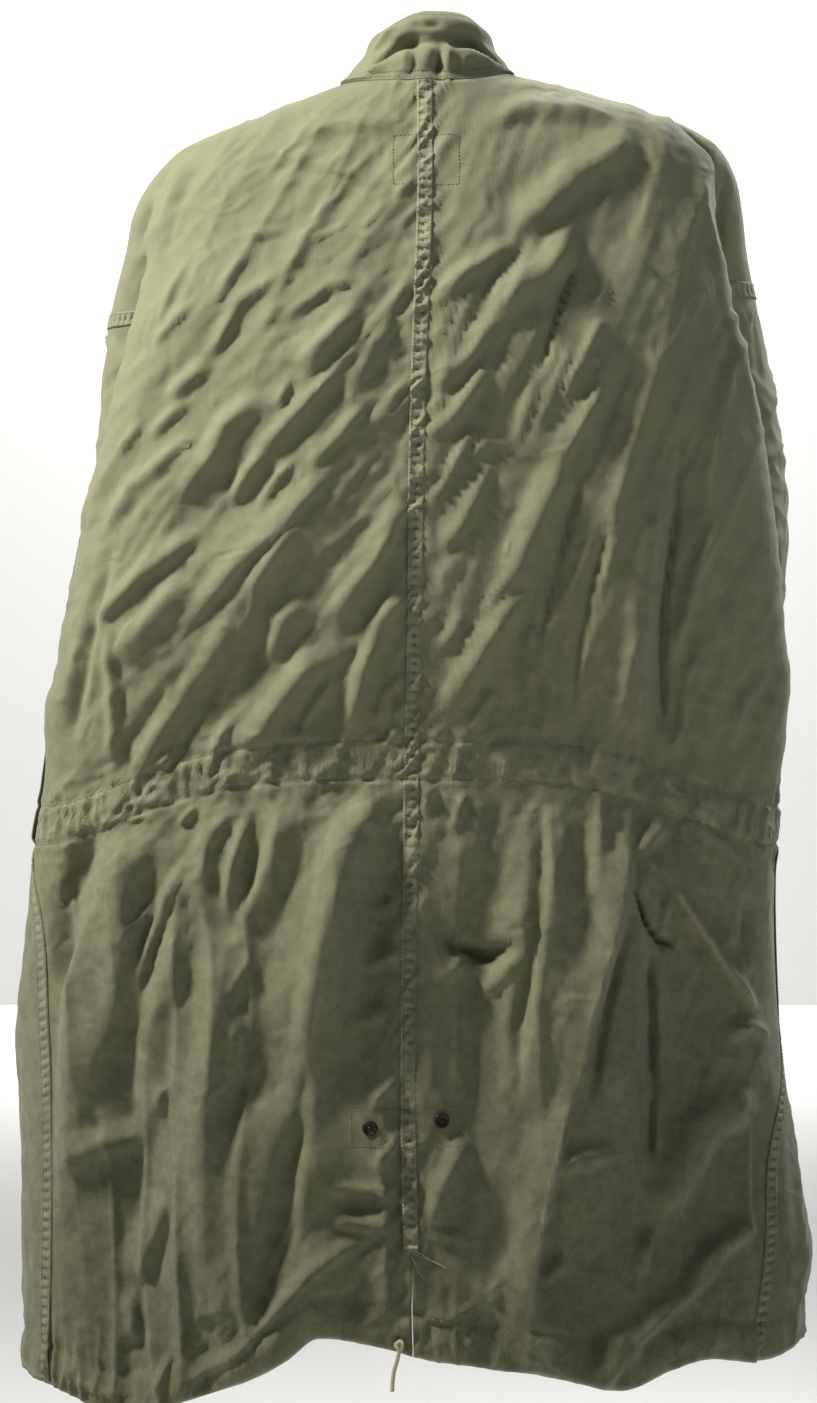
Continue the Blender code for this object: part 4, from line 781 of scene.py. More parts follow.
def collar_surface(side, face, across, along, height):
    """Outer points, normals and wear of the collar; height runs from 0 at its seam to 1."""
    across, along, height = np.broadcast_arrays(np.asarray(across, float), np.asarray(along, float),
                                                np.asarray(height, float))
    base, outward, _ = surface(side, face, across, 0.0 * across, along)
    turn = np.radians(neck_turn(face, across))
    sine, cosine = np.sin(turn), np.cos(turn)
    depth = np.where(cosine >= 0.0, COLLAR_TOP_BACK_Y, -COLLAR_TOP_FRONT_Y)
    top = points_of(COLLAR_TOP_X + side * COLLAR_TOP_HALF * sine, depth * cosine,
                    mix(COLLAR_TOP_FRONT_Z, COLLAR_TOP_BACK_Z, smooth((1.0 + cosine) / 2.0)))
    top[..., 0] += side * np.where(across < 0.5, along, 0.0)
    top[..., 2] -= COLLAR_SAG * smooth((top[..., 0] + 4.0) / 24.0) * smooth(cosine * 3.0)
    rise = unit(top - base)
    level = unit(outward * np.array([1.0, 1.0, 0.0]))
    leaning = unit(level - rise * np.sum(level * rise, axis=-1, keepdims=True))
    normal = unit(mix(level, leaning, smooth(height / 0.3)[..., None]))
    swell, worn = collar_shape(base[..., 0], cosine, height)
    point = mix(base, top, height[..., None]) + normal * swell[..., None]
    return point, normal, worn


def collar_shape(x, cosine, height):
    """The rolled collar: a puckered lower band, a crease hollow at its two ends, and a roll above."""
    behind = smooth(cosine * 2.0 + 0.3)
    reach = np.abs(x + 12.0)
    crease_at = mix(0.56, 0.14, smooth((reach - 34.0) / 38.0))
    hollow = bump(x - 24.0, 34.0) + bump(x + 50.0, 34.0) + 0.2
    crease = bump(height - crease_at, 0.15) * np.minimum(hollow, 1.0) * 10.5
    lower = bump(height - crease_at * 0.6, 0.22) * 3.6
    roll = bump(height - 0.8, 0.27) * 6.5
    up = height * COLLAR_HEIGHT
    drawn, _ = creases_at(COLLAR_CREASES, x, up)
    fine = crumple(x, up, 80.0, 40.0, 11.0, 91) * 1.3 * bump(height - 0.3, 0.4)
    fine = fine + crumple(x, up, 20.0, 30.0, 12.0, 93) * 0.9 * bump(height - 0.75, 0.3)
    ahead = 5.0 * np.sin(np.pi * height) ** 2
    shape = mix(ahead, lower + roll - crease + drawn + fine, behind)
    return shape * smooth(height / 0.06), bump(height - 1.0, 0.05) * 0.4


def linear(code):
    """A colour written as an sRGB hex number, as linear red, green, blue and alpha."""
    parts = [int(code[start:start + 2], 16) / 255.0 for start in (1, 3, 5)]
    return (*[part / 12.92 if part <= 0.04045 else ((part + 0.055) / 1.055) ** 2.4 for part in parts], 1.0)


def add_node(tree, kind, settings=None, links=None):
    """A shader node. Settings name its options or its inputs, links only inputs; both may use numbers."""
    made = tree.nodes.new(kind)
    for name, value in (settings or {}).items():
        if isinstance(name, str) and hasattr(made, name):
            setattr(made, name, value)
        else:
            made.inputs[name].default_value = value
    for name, source in (links or {}).items():
        tree.links.new(source, made.inputs[name])
    return made


COLOUR_A, COLOUR_B, COLOUR_OUT = 6, 7, 2    # a Mix node's sockets when it mixes colours


def washed_cotton_sateen(tree, place, deep, plain, faded, worn):
    """Cotton sateen, piece-dyed olive, faded by washing and sunlight to a pale, dull olive in patches, and
    painted paler towards the shoulders and darker towards the tail as painted light from above.

    It gives a soft, mottled, almost shineless cloth with a faint lengthwise grain.
    """
    cloth = add_node(tree, "ShaderNodeUVMap", {"uv_map": "cloth"}).outputs["UV"]
    clouds = add_node(tree, "ShaderNodeTexNoise", {"Scale": 9.0, "Detail": 5.0, "Roughness": 0.6},
                      {"Vector": place})
    mottle = add_node(tree, "ShaderNodeTexNoise", {"Scale": 70.0, "Detail": 9.0, "Roughness": 0.72},
                      {"Vector": place})
    cloudy = add_node(tree, "ShaderNodeMapRange", {"From Min": 0.3, "From Max": 0.7},
                      {"Value": clouds.outputs["Fac"]})
    base = add_node(tree, "ShaderNodeMix",
                    {"data_type": "RGBA", COLOUR_A: linear(deep), COLOUR_B: linear(plain)},
                    {0: cloudy.outputs["Result"]})
    # Painted light: the cloth is painted paler towards the shoulders and darker towards the tail, as if lit
    # from above. Its mottled patches are faded.
    height = add_node(tree, "ShaderNodeSeparateXYZ", links={"Vector": place})
    painted_top_light = add_node(tree, "ShaderNodeMapRange", {"From Min": -1.0, "From Max": -0.3, "To Max": 0.85},
                   {"Value": height.outputs["Z"]})
    patchy = add_node(tree, "ShaderNodeMapRange", {"From Min": 0.35, "From Max": 0.72, "To Max": 0.5},
                      {"Value": mottle.outputs["Fac"]})
    # The fade mask holds both the faded patches and the painted light from above.
    fade = add_node(tree, "ShaderNodeMath", {"operation": "ADD", "use_clamp": True},
                    {0: patchy.outputs["Result"], 1: painted_top_light.outputs["Result"]})
    faded_and_top_lit = add_node(tree, "ShaderNodeMix", {"data_type": "RGBA", COLOUR_B: linear(faded)},
                      {0: fade.outputs["Value"], COLOUR_A: base.outputs[COLOUR_OUT]})
    rubbed = add_node(tree, "ShaderNodeAttribute", {"attribute_name": "wear"})
    rub = add_node(tree, "ShaderNodeMath", {"operation": "MULTIPLY", "use_clamp": True},
                   {0: rubbed.outputs["Fac"], 1: mottle.outputs["Fac"]})
    rub = add_node(tree, "ShaderNodeMath", {"operation": "MULTIPLY", "use_clamp": True, 1: 1.7},
                   {0: rub.outputs["Value"]})
    colour = add_node(tree, "ShaderNodeMix", {"data_type": "RGBA", COLOUR_B: linear(worn)},
                      {0: rub.outputs["Value"], COLOUR_A: faded_and_top_lit.outputs[COLOUR_OUT]})
    # The threads lie 0.35 mm apart, too fine to show, so the grain is drawn 1.1 mm apart.
    grain, weft = (add_node(tree, "ShaderNodeTexWave",
                            {"wave_type": "BANDS", "bands_direction": way, "Scale": 285.0,
                             "Distortion": 1.4, "Detail": 2.0, "Detail Scale": 1.6}, {"Vector": cloth})
                   for way in "XY")
    # Uneven threads, drawn 2 mm long where real ones run on for 10 mm or more.
    slub = add_node(tree, "ShaderNodeTexNoise", {"Scale": 480.0, "Detail": 4.0, "Roughness": 0.7},
                    {"Vector": cloth})
    # Soft creases too small for the mesh, about 30 mm apart and finer.
    creased = add_node(tree, "ShaderNodeTexNoise", {"noise_type": "RIDGED_MULTIFRACTAL", "normalize": True,
                                                    "Scale": 34.0, "Detail": 4.0, "Roughness": 0.5,
                                                    "Distortion": 0.9}, {"Vector": place})
    soft = add_node(tree, "ShaderNodeBump", {"Strength": 0.55, "Distance": 0.004},
                    {"Height": creased.outputs["Fac"]})
    # Where stitches draw the cloth in, its finest puckers stand 6 mm apart and run down it.
    stretched = add_node(tree, "ShaderNodeMapping", {"Scale": (170.0, 34.0, 1.0)}, {"Vector": cloth})
    pucker = add_node(tree, "ShaderNodeTexNoise", {"Scale": 1.0, "Detail": 3.0, "Distortion": 0.5},
                      {"Vector": stretched.outputs["Vector"]})
    drawn = add_node(tree, "ShaderNodeAttribute", {"attribute_name": "drawn"})
    gathered = add_node(tree, "ShaderNodeMath", {"operation": "MULTIPLY"},
                        {0: pucker.outputs["Fac"], 1: drawn.outputs["Fac"]})
    soft = add_node(tree, "ShaderNodeBump", {"Strength": 0.8, "Distance": 0.003},
                    {"Height": gathered.outputs["Value"], "Normal": soft.outputs["Normal"]})
    rough = add_node(tree, "ShaderNodeBump", {"Strength": 0.35, "Distance": 0.0005},
                     {"Height": slub.outputs["Fac"], "Normal": soft.outputs["Normal"]})
    crossed = add_node(tree, "ShaderNodeBump", {"Strength": 0.16, "Distance": 0.0003},
                       {"Height": weft.outputs["Fac"], "Normal": rough.outputs["Normal"]})
    woven = add_node(tree, "ShaderNodeBump", {"Strength": 0.28, "Distance": 0.0003},
                     {"Height": grain.outputs["Fac"], "Normal": crossed.outputs["Normal"]})
    dull = add_node(tree, "ShaderNodeMapRange", {"To Min": 0.95, "To Max": 0.78},
                    {"Value": mottle.outputs["Fac"]})
    return add_node(tree, "ShaderNodeBsdfPrincipled",
                    {"Sheen Weight": 0.12, "Sheen Roughness": 0.5, "IOR": 1.45},
                    {"Base Color": colour.outputs[COLOUR_OUT], "Roughness": dull.outputs["Result"],
                     "Normal": woven.outputs["Normal"]})


def spun_cotton_thread(tree, place, colour, pale):
    """Twisted cotton thread, faded unevenly. It gives each stitch a dry, matt, slightly hairy look."""
    patches = add_node(tree, "ShaderNodeTexNoise", {"Scale": 120.0, "Detail": 5.0}, {"Vector": place})
    ply = add_node(tree, "ShaderNodeTexWave", {"wave_type": "BANDS", "bands_direction": "DIAGONAL",
                                               "Scale": 260.0, "Distortion": 2.0}, {"Vector": place})
    twist = add_node(tree, "ShaderNodeBump", {"Strength": 0.5, "Distance": 0.0003},
                     {"Height": ply.outputs["Fac"]})
    faded = add_node(tree, "ShaderNodeMapRange", {"From Min": 0.35, "From Max": 0.65},
                     {"Value": patches.outputs["Fac"]})
    blend = add_node(tree, "ShaderNodeMix",
                     {"data_type": "RGBA", COLOUR_A: linear(colour), COLOUR_B: linear(pale)},
                     {0: faded.outputs["Result"]})
    return add_node(tree, "ShaderNodeBsdfPrincipled", {"Roughness": 0.9, "Sheen Weight": 0.1},
                    {"Base Color": blend.outputs[COLOUR_OUT], "Normal": twist.outputs["Normal"]})


def braided_cotton_cord(tree, place, colour, dirty):
    """Round-braided cotton cord, grey with handling. It gives a pale chevron weave 2 mm long."""
    tilt = add_node(tree, "ShaderNodeMapping", {"Rotation": (0.6, 0.5, 0.0)}, {"Vector": place})
    lean = add_node(tree, "ShaderNodeMapping", {"Rotation": (-0.6, -0.5, 0.0)}, {"Vector": place})
    strands = [add_node(tree, "ShaderNodeTexWave", {"wave_type": "BANDS", "bands_direction": "Z",
                                                    "Scale": 160.0}, {"Vector": way.outputs["Vector"]})
               for way in (tilt, lean)]
    braid = add_node(tree, "ShaderNodeMath", {"operation": "MAXIMUM"},
                     {0: strands[0].outputs["Fac"], 1: strands[1].outputs["Fac"]})
    raised = add_node(tree, "ShaderNodeBump", {"Strength": 0.8, "Distance": 0.0006},
                      {"Height": braid.outputs["Value"]})
    grime = add_node(tree, "ShaderNodeTexNoise", {"Scale": 90.0, "Detail": 5.0}, {"Vector": place})
    blend = add_node(tree, "ShaderNodeMix",
                     {"data_type": "RGBA", COLOUR_A: linear(colour), COLOUR_B: linear(dirty)},
                     {0: grime.outputs["Fac"]})
    return add_node(tree, "ShaderNodeBsdfPrincipled", {"Roughness": 0.92, "Sheen Weight": 0.1},
                    {"Base Color": blend.outputs[COLOUR_OUT], "Normal": raised.outputs["Normal"]})


def worn_metal(tree, place, coat, bare, rough, scratch_scale):
    """Stamped brass under a thin coat or patina, rubbed to bare metal in places.

    It gives a dark, uneven metal that shines only where hands have worn it.
    """
    stain = add_node(tree, "ShaderNodeTexNoise", {"Scale": scratch_scale, "Detail": 8.0, "Roughness": 0.7},
                     {"Vector": place})
    rub = add_node(tree, "ShaderNodeMapRange", {"From Min": 0.5, "From Max": 0.75},
                   {"Value": stain.outputs["Fac"]})
    dents = add_node(tree, "ShaderNodeBump", {"Strength": 0.3, "Distance": 0.0002},
                     {"Height": stain.outputs["Fac"]})
    shine = add_node(tree, "ShaderNodeMapRange", {"To Min": rough + 0.15, "To Max": rough - 0.1},
                     {"Value": stain.outputs["Fac"]})
    blend = add_node(tree, "ShaderNodeMix",
                     {"data_type": "RGBA", COLOUR_A: linear(coat), COLOUR_B: linear(bare)},
                     {0: rub.outputs["Result"]})
    return add_node(tree, "ShaderNodeBsdfPrincipled", {"Metallic": 1.0},
                    {"Base Color": blend.outputs[COLOUR_OUT], "Roughness": shine.outputs["Result"],
                     "Normal": dents.outputs["Normal"]})


def painted_board(tree, place, colour):
    """A matt painted studio surface with the faint unevenness of rolled paint."""
    rolled = add_node(tree, "ShaderNodeTexNoise", {"Scale": 300.0}, {"Vector": place})
    texture = add_node(tree, "ShaderNodeBump", {"Strength": 0.05, "Distance": 0.0005},
                       {"Height": rolled.outputs["Fac"]})
    return add_node(tree, "ShaderNodeBsdfPrincipled", {"Base Color": linear(colour), "Roughness": 0.9},
                    {"Normal": texture.outputs["Normal"]})


MATERIALS = {}


def material(name):
    """Each finish is made once, when the first piece asks for it."""
    if name not in MATERIALS:
        looks = bpy.context.scene.parka_colours
        called, maker, *choices = {
            "cloth": ("washed_cotton_sateen", washed_cotton_sateen, looks.deep, looks.plain, looks.faded,
                      looks.worn),
            "seam": ("felled_cotton_sateen", washed_cotton_sateen, looks.seam_deep, looks.seam_plain,
                     looks.seam_faded_and_top_lit, looks.worn),
            "thread": ("spun_cotton_thread", spun_cotton_thread, looks.thread, looks.thread_pale),
            "fray": ("frayed_cotton_thread", spun_cotton_thread, looks.fray, looks.fray_pale),
            "cord": ("braided_cotton_cord", braided_cotton_cord, looks.cord, looks.cord_dirty),
            "snap": ("blackened_stamped_brass", worn_metal, looks.snap, looks.snap_bare, 0.5, 900.0),
            "zip": ("aged_stamped_brass", worn_metal, looks.zip_coat, looks.zip_bare, 0.38, 700.0),
            "board": ("pale_painted_board", painted_board, looks.board),
        }[name]
        made = bpy.data.materials.new(called)
        made.use_nodes = True
        tree = made.node_tree
        tree.nodes.clear()
        shader = maker(tree, add_node(tree, "ShaderNodeTexCoord").outputs["Object"], *choices)
        add_node(tree, "ShaderNodeOutputMaterial", links={"Surface": shader.outputs["BSDF"]})
        MATERIALS[name] = made
    return MATERIALS[name]


def put_in_scene(name, data):
    thing = bpy.data.objects.new(name, data)
    bpy.context.scene.collection.objects.link(thing)
    return thing


def place_on_parka(thing, replaced=()):
    """Parents a finished piece to the parka's empty, so it moves with the parka, and hides the solids it may
    stand for.
    """
    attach(thing, BODY)
    if replaced:
        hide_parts(*replaced)
    return thing


def mesh_of(name, bm):
    mesh = bpy.data.meshes.new(name)
    bm.to_mesh(mesh)
    bm.free()
    return mesh


def add_piece(name, bm, finish, replaced=(), smooth_shaded=True):
    mesh = mesh_of(name, bm)
    mesh.polygons.foreach_set("use_smooth", [smooth_shaded] * len(mesh.polygons))
    thing = put_in_scene(name, mesh)
    mesh.materials.append(material(finish))
    return place_on_parka(thing, replaced)


def distances(points):
    """How far along a line each of its points lies."""
    return np.concatenate([[0.0], np.cumsum(np.linalg.norm(np.diff(points, axis=0), axis=-1))])


def cloth_grid(name, points, normals, wear, finish, replaced, wall, keep=None, closed=False, drawn=0.0):
    """A sheet of cloth on a grid of surface points in millimetres, given a wall on its inner side.

    Wear and drawn say for each point how far it is rubbed pale and drawn together by stitches.
    """
    count_down, count_across = points.shape[:2]
    bm = bmesh.new()
    bmesh.ops.create_grid(bm, x_segments=count_across - 1, y_segments=count_down - 1, size=1.0)
    bm.verts.ensure_lookup_table()
    wear_layer = bm.verts.layers.float.new("wear")
    drawn_layer = bm.verts.layers.float.new("drawn")
    uv_layer = bm.loops.layers.uv.new("cloth")
    places = (points * MM).reshape(-1, 3).tolist()
    worn = np.broadcast_to(wear, points.shape[:2]).reshape(-1).tolist()
    tight = np.broadcast_to(drawn, points.shape[:2]).reshape(-1).tolist()
    steps_across = np.linalg.norm(np.diff(points, axis=1), axis=-1)
    down = distances(points[:, count_across // 2]) * MM
    across = np.concatenate([np.zeros((count_down, 1)), np.cumsum(steps_across, axis=1)], axis=1) * MM
    across = across.tolist()
    index_of = {}
    for index, vert in enumerate(bm.verts):
        vert.co = places[index]
        vert[wear_layer] = worn[index]
        vert[drawn_layer] = tight[index]
        index_of[vert] = divmod(index, count_across)
    for face in bm.faces:
        for loop in face.loops:
            row, column = index_of[loop.vert]
            loop[uv_layer].uv = (across[row][column], down[row])
    if keep is not None:
        kept = keep.reshape(-1)
        unused = [vert for index, vert in enumerate(bm.verts) if not kept[index]]
        bmesh.ops.delete(bm, geom=unused, context="VERTS")
    first = bm.faces[:][0]
    row, column = index_of[first.loops[0].vert]
    first.normal_update()
    if first.normal.dot(Vector(normals[row, column])) < 0.0:
        bmesh.ops.reverse_faces(bm, faces=bm.faces[:])
    if closed:
        bmesh.ops.remove_doubles(bm, verts=bm.verts[:], dist=0.00002)
    thing = add_piece(name, bm, finish, replaced)
    solid = thing.modifiers.new("Wall", "SOLIDIFY")
    solid.thickness = wall * MM
    solid.offset = -1.0
    return thing


def spaced(start, end, cells):
    return np.linspace(start, end, cells + 1)


def body_rows(fine):
    """Rows of a panel, closest together at the waist and the hem, with one on the armhole's row."""
    below = np.linspace(ARMHOLE_ROW, HEM_ROW, 2000)
    close = 1.0 + 1.6 * bump(below - WAIST_ROW, 0.16) + 0.8 * bump(below - HEM_ROW, 0.2)
    counted = np.cumsum(close)
    counted = (counted - counted[0]) / (counted[-1] - counted[0])
    return np.concatenate([spaced(0.0, ARMHOLE_ROW, fine.yoke),
                           np.interp(spaced(0.0, 1.0, fine.body), counted, below)[1:]])


def panel(side, face, fine):
    """One half of the back or the front, cut in one with its share of the upper arm."""
    rows = body_rows(fine)
    if face == BACK:
        across, along = spaced(0.0, 1.0, fine.width), np.zeros(fine.width + 1)
    else:
        across = np.concatenate([np.zeros(len(EDGE_COLUMNS)), spaced(FIRST_SHARE, 1.0, fine.width)])
        along = np.concatenate([ZIP_GAP + np.array(EDGE_COLUMNS), np.zeros(fine.width + 1)])
    across = np.concatenate([across, spaced(1.0, 2.0, fine.arm)[1:]])
    along = np.concatenate([along, np.zeros(fine.arm)])
    # The columns beside the zip are set closer together where the panel is narrow.
    zero = np.zeros(rows.shape)
    room = plain_point(side, face, zero + FIRST_SHARE, rows) - plain_point(side, face, zero, rows)
    fit = (0.85 * np.linalg.norm(room, axis=-1) - ZIP_GAP) / EDGE_COLUMNS[-1]
    fit = np.clip(fit, 0.1, 1.0)[:, None]
    along = np.where(along > 0.0, ZIP_GAP + (along - ZIP_GAP) * fit, 0.0)
    points, normals, wear = surface(side, face, across[None, :], rows[:, None], along)
    keep = (rows[:, None] <= ARMHOLE_ROW) | (across[None, :] <= 1.0)
    name = FACE_NAMES[face] + "_" + SIDE_NAMES[side]
    drawn = pulled_in(side, face, across[None, :], rows[:, None])
    return cloth_grid(name + "_cloth", points, normals, wear, "cloth", [name], CLOTH_WALL, keep=keep,
                      drawn=drawn)


def ladder(distance, over, half, seed):
    """A felled band's rungs: short hollows across it between its two stitched edges."""
    phase = distance / PUCKER_PERIOD + 0.5 * varied(distance, 26.0, 0.0, seed)
    phase = phase + over / half * 0.1
    hollow = bump((phase % 1.0) - 0.5, 0.34)
    uneven = 0.55 + 0.8 * noise(distance / 17.0 + 7.0, 3.5 + 0.0 * distance, seed + 1)
    inside = bump(over, half * 0.86) ** 0.5
    height = 0.5 * bump(over, half) ** 0.6 - PUCKER_DEPTH * hollow * uneven * inside
    return height, 0.22 * (1.0 - hollow) * inside * uneven


def band_grid(name, parts, distance, over, half, replaced, seed):
    """A felled band from surface points laid over the panels' edges."""
    points, normals, wear = parts
    raised, worn = ladder(distance, over, half, seed)
    points = points + normals * (BAND_STAND + raised)[..., None]
    return cloth_grid(name, points, normals, np.clip(wear + worn, 0, 1), "seam", replaced, BAND_WALL)


def joined(first, second):
    return tuple(np.concatenate([one, other], axis=1) for one, other in zip(first, second))


def arc_down(points):
    """Distance down the middle column of a grid, one value for each row."""
    return distances(points[:, points.shape[1] // 2])[:, None]


def long_band(name, first, second, over, replaced, seed):
    """A felled band made of the two strips that meet on its seam."""
    parts = joined(first, second)
    offsets = np.concatenate([over[::-1], -over[1:]])[None, :]
    return band_grid(name, parts, arc_down(parts[0]), offsets, BAND_HALF, replaced, seed)


def centre_band():
    """The felled band of the centre-back seam, from the neckline to the split."""
    rows = spaced(0.002, SPLIT_ROW, 720)[:, None]
    over = spaced(0.0, BAND_HALF, 5)
    thing = long_band("centre_back_seam", surface(LEFT, BACK, 0.0, rows, over[None, ::-1]),
                      surface(RIGHT, BACK, 0.0, rows, over[None, 1:]), over, ["seam_centre_back"], 71)


def side_band(side):
    """The felled band of the side seam, from the underarm to the hem."""
    rows = spaced(1.02, 2.995, 660)[:, None]
    over = spaced(0.0, BAND_HALF, 4)
    thing = long_band("side_seam_" + SIDE_NAMES[side], surface(side, BACK, 1.0, rows, -over[None, ::-1]),
                      surface(side, FRONT, 1.0, rows, -over[None, 1:]), over,
                      ["seam_side_" + SIDE_NAMES[side]], 73 if side == LEFT else 75)


def arm_columns(side, cells):
    """For each face, columns from the underarm over the back to the front: their across and turn."""
    runs = ((BACK, spaced(1.03, 2.0, cells)), (FRONT, spaced(2.0, 1.03, cells)[1:]))
    return [(face, across, arm_turn(side, face, across - 1.0, np.ones(across.shape)))
            for face, across in runs]


def arm_band(side):
    """The felled band of the armhole seam."""
    above = spaced(BAND_TOP_ROW, 0.998, 3)[None, :]
    below = spaced(0.001, BAND_END_KEY, 3)[None, :]
    grids = [joined(surface(side, face, across[:, None], above), sleeve_surface(side, turn[:, None], below))
             for face, across, turn in arm_columns(side, 120)]
    parts = tuple(np.concatenate([one, other], axis=0) for one, other in zip(*grids))
    offsets = np.linspace(-BAND_HALF, BAND_HALF, parts[0].shape[1])[None, :]
    thing = band_grid("armhole_seam_" + SIDE_NAMES[side], parts, arc_down(parts[0]), offsets, BAND_HALF,
                      ["seam_arm_" + SIDE_NAMES[side]], 77 if side == LEFT else 79)


def sleeve(side, fine):
    turns, keys = spaced(0.0, 360.0, fine.sleeve_round), spaced(0.0, CUFF_KEY, fine.sleeve_down)
    points, normals, wear = sleeve_surface(side, turns[None, :], keys[:, None])
    name = "sleeve_" + SIDE_NAMES[side]
    thing = cloth_grid(name + "_cloth", points, normals, wear, "cloth", [name], CLOTH_WALL, closed=True)


def cuff(side, fine):
    """The turned-up end of the sleeve, a little proud of it, with its edge rubbed pale."""
    turns, shares = spaced(0.0, 360.0, fine.sleeve_round)[None, :], spaced(0.0, 1.0, 16)[:, None]
    points, normals, wear = sleeve_surface(side, turns, mix(CUFF_KEY, CUFF_END, shares))
    pucker = crumple(turns, 40.0 * shares, 0.0, 12.0, 30.0, 181 + side) * 0.7
    lip = 0.8 * smooth(shares / 0.08) + 0.5 * bump(shares - 0.97, 0.12)
    points = points + normals * (lip + pucker)[..., None]
    wear = np.clip(wear + bump(shares - 1.0, 0.12) * 0.7 + bump(shares, 0.1) * 0.3, 0, 1)
    name = "cuff_" + SIDE_NAMES[side]
    thing = cloth_grid(name + "_cloth", points, normals, wear, "cloth", [name], CUFF_WALL, closed=True)


def neckline(across_cells):
    """Columns round the neck as (side, face, across, along), from one end of the zip to the other."""
    places = []
    for side in (LEFT, RIGHT):
        front = [(side, FRONT, 0.0, ZIP_GAP)]
        front += [(side, FRONT, share, 0.0) for share in spaced(NECK_SHARE, 2.0, across_cells)]
        back = [(side, BACK, share, 0.0) for share in spaced(0.0, 2.0, across_cells)[::-1][1:]]
        half = front + back
        places += half if side == LEFT else half[::-1][1:]
    return places


def on_neckline(places, heights, worker):
    """Runs a surface function of (side, face, across, along, height) over the columns of a neckline."""
    grids = []
    for (side, face), run in groupby(places, key=lambda place: place[:2]):
        run = list(run)
        across, along = (np.array([place[index] for place in run])[None, :] for index in (2, 3))
        grids.append(worker(side, face, across, along, heights[:, None]))
    return tuple(np.concatenate(parts, axis=1) for parts in zip(*grids))


def collar():
    points, normals, wear = on_neckline(neckline(56), spaced(0.0, 1.0, 44), collar_surface)
    points[..., 2] += COLLAR_LIFT
    thing = cloth_grid("collar_cloth", points, normals, wear, "cloth", ["collar"], COLLAR_WALL)


def inner_strip(name, points, normals, wear, sink, replaced):
    """A plain strip of cloth that lies on the inner side of the panels."""
    return cloth_grid(name, points - normals * sink, normals, wear, "seam", replaced, BAND_WALL)


def casing(side, face):
    """The tunnel that carries the waist's drawstring, inside the panels."""
    across = spaced(0.03, 0.98, 110)[None, :]
    rows = spaced(WAIST_ROW - CASING_HALF, WAIST_ROW + CASING_HALF, 8)[:, None]
    where = FACE_NAMES[face] + "_" + SIDE_NAMES[side]
    thing = inner_strip("waist_tunnel_" + where, *surface(side, face, across, rows), INNER_SINK,
                        ["casing_" + where])


def zip_tape(side):
    """The woven tape of the zip, sewn behind the front's edge."""
    rows = spaced(ZIP_TOP_ROW, ZIP_END_ROW, 260)[:, None]
    name = "zip_tape_" + SIDE_NAMES[side]
    thing = inner_strip(name + "_cloth", *surface(side, FRONT, 0.0, rows, np.array(TAPE_COLUMNS)[None, :]),
                        INNER_SINK, [name])


def tree_of(names):
    """The outer faces of some pieces, for finding what lies under a place on the back."""
    verts, faces = [], []
    for name in names:
        mesh = bpy.data.objects[name].data
        start = len(verts)
        verts += [vert.co.copy() for vert in mesh.vertices]
        faces += [[start + index for index in polygon.vertices] for polygon in mesh.polygons]
    return BVHTree.FromPolygons(verts, faces)


PANELS = ("back_left_cloth", "back_right_cloth")
SEWN_BACK = PANELS + ("centre_back_seam",)


def on_back(tree, x, z):
    """Outermost point and normal of the back at a place seen from behind, in millimetres."""
    hit, normal = tree.ray_cast(Vector((x * MM, 0.5, z * MM)), Vector((0.0, -1.0, 0.0)))[:2]
    if hit is None:
        raise RuntimeError("nothing lies at %g, %g on the back" % (x, z))
    if normal.y < 0.0:
        normal = -normal
    return np.array(hit) / MM, np.array(normal)


def patch(name, low_x, high_x, low_z, high_z):
    """A facing behind the back's outer cloth, which the outline of stitches holds."""
    tree = tree_of(PANELS)
    places = [[on_back(tree, x, z) for x in spaced(low_x, high_x, 22)] for z in spaced(high_z, low_z, 14)]
    points = np.array([[place[0] for place in row] for row in places])
    normals = np.array([[place[1] for place in row] for row in places])
    thing = inner_strip(name + "_facing", points, normals, np.zeros(points.shape[:2]), FACING_SINK, [name])


def spread_stitches(bm, points, normals, length=None, gap=STITCH_GAP, width=STITCH_HALF_WIDTH, seed=0):
    """Lays stitches end to end along a line of surface points in millimetres."""
    length = length or round(bpy.context.scene.parka_sizes.stitch / MM, 3)
    chance = random.Random(seed)
    points, normals = points.reshape(-1, 3), normals.reshape(-1, 3)
    done = distances(points)

    def at(distance, values):
        return Vector([float(np.interp(distance, done, values[:, axis])) for axis in range(3)])

    place = gap
    while place + length < done[-1]:
        size = length * chance.uniform(0.85, 1.1)
        start, end = at(place, points), at(place + size, points)
        out = at(place + size / 2.0, normals).normalized()
        forward = (end - start).normalized()
        over = forward.cross(out).normalized()
        out = over.cross(forward)
        middle = (start + end) / 2.0 + out * STITCH_RISE
        matrix = Matrix.Identity(4)
        halves = (forward * (size / 2.0), over * width, out * STITCH_HALF_HEIGHT)
        for column, half in enumerate(halves):
            matrix.col[column].xyz = half * MM
        matrix.translation = middle * MM
        bmesh.ops.create_icosphere(bm, subdivisions=1, radius=1.0, matrix=matrix)
        place += length + gap * chance.uniform(0.8, 1.25)


def stitches(name, rows, finish="thread"):
    """One piece made of several rows of stitches."""
    bm = bmesh.new()
    for seed, (points, normals) in enumerate(rows):
        spread_stitches(bm, points, normals, seed=seed)
    add_piece(name, bm, finish)


def lifted(parts, amount):
    points, normals = parts[:2]
    return points + normals * amount, normals


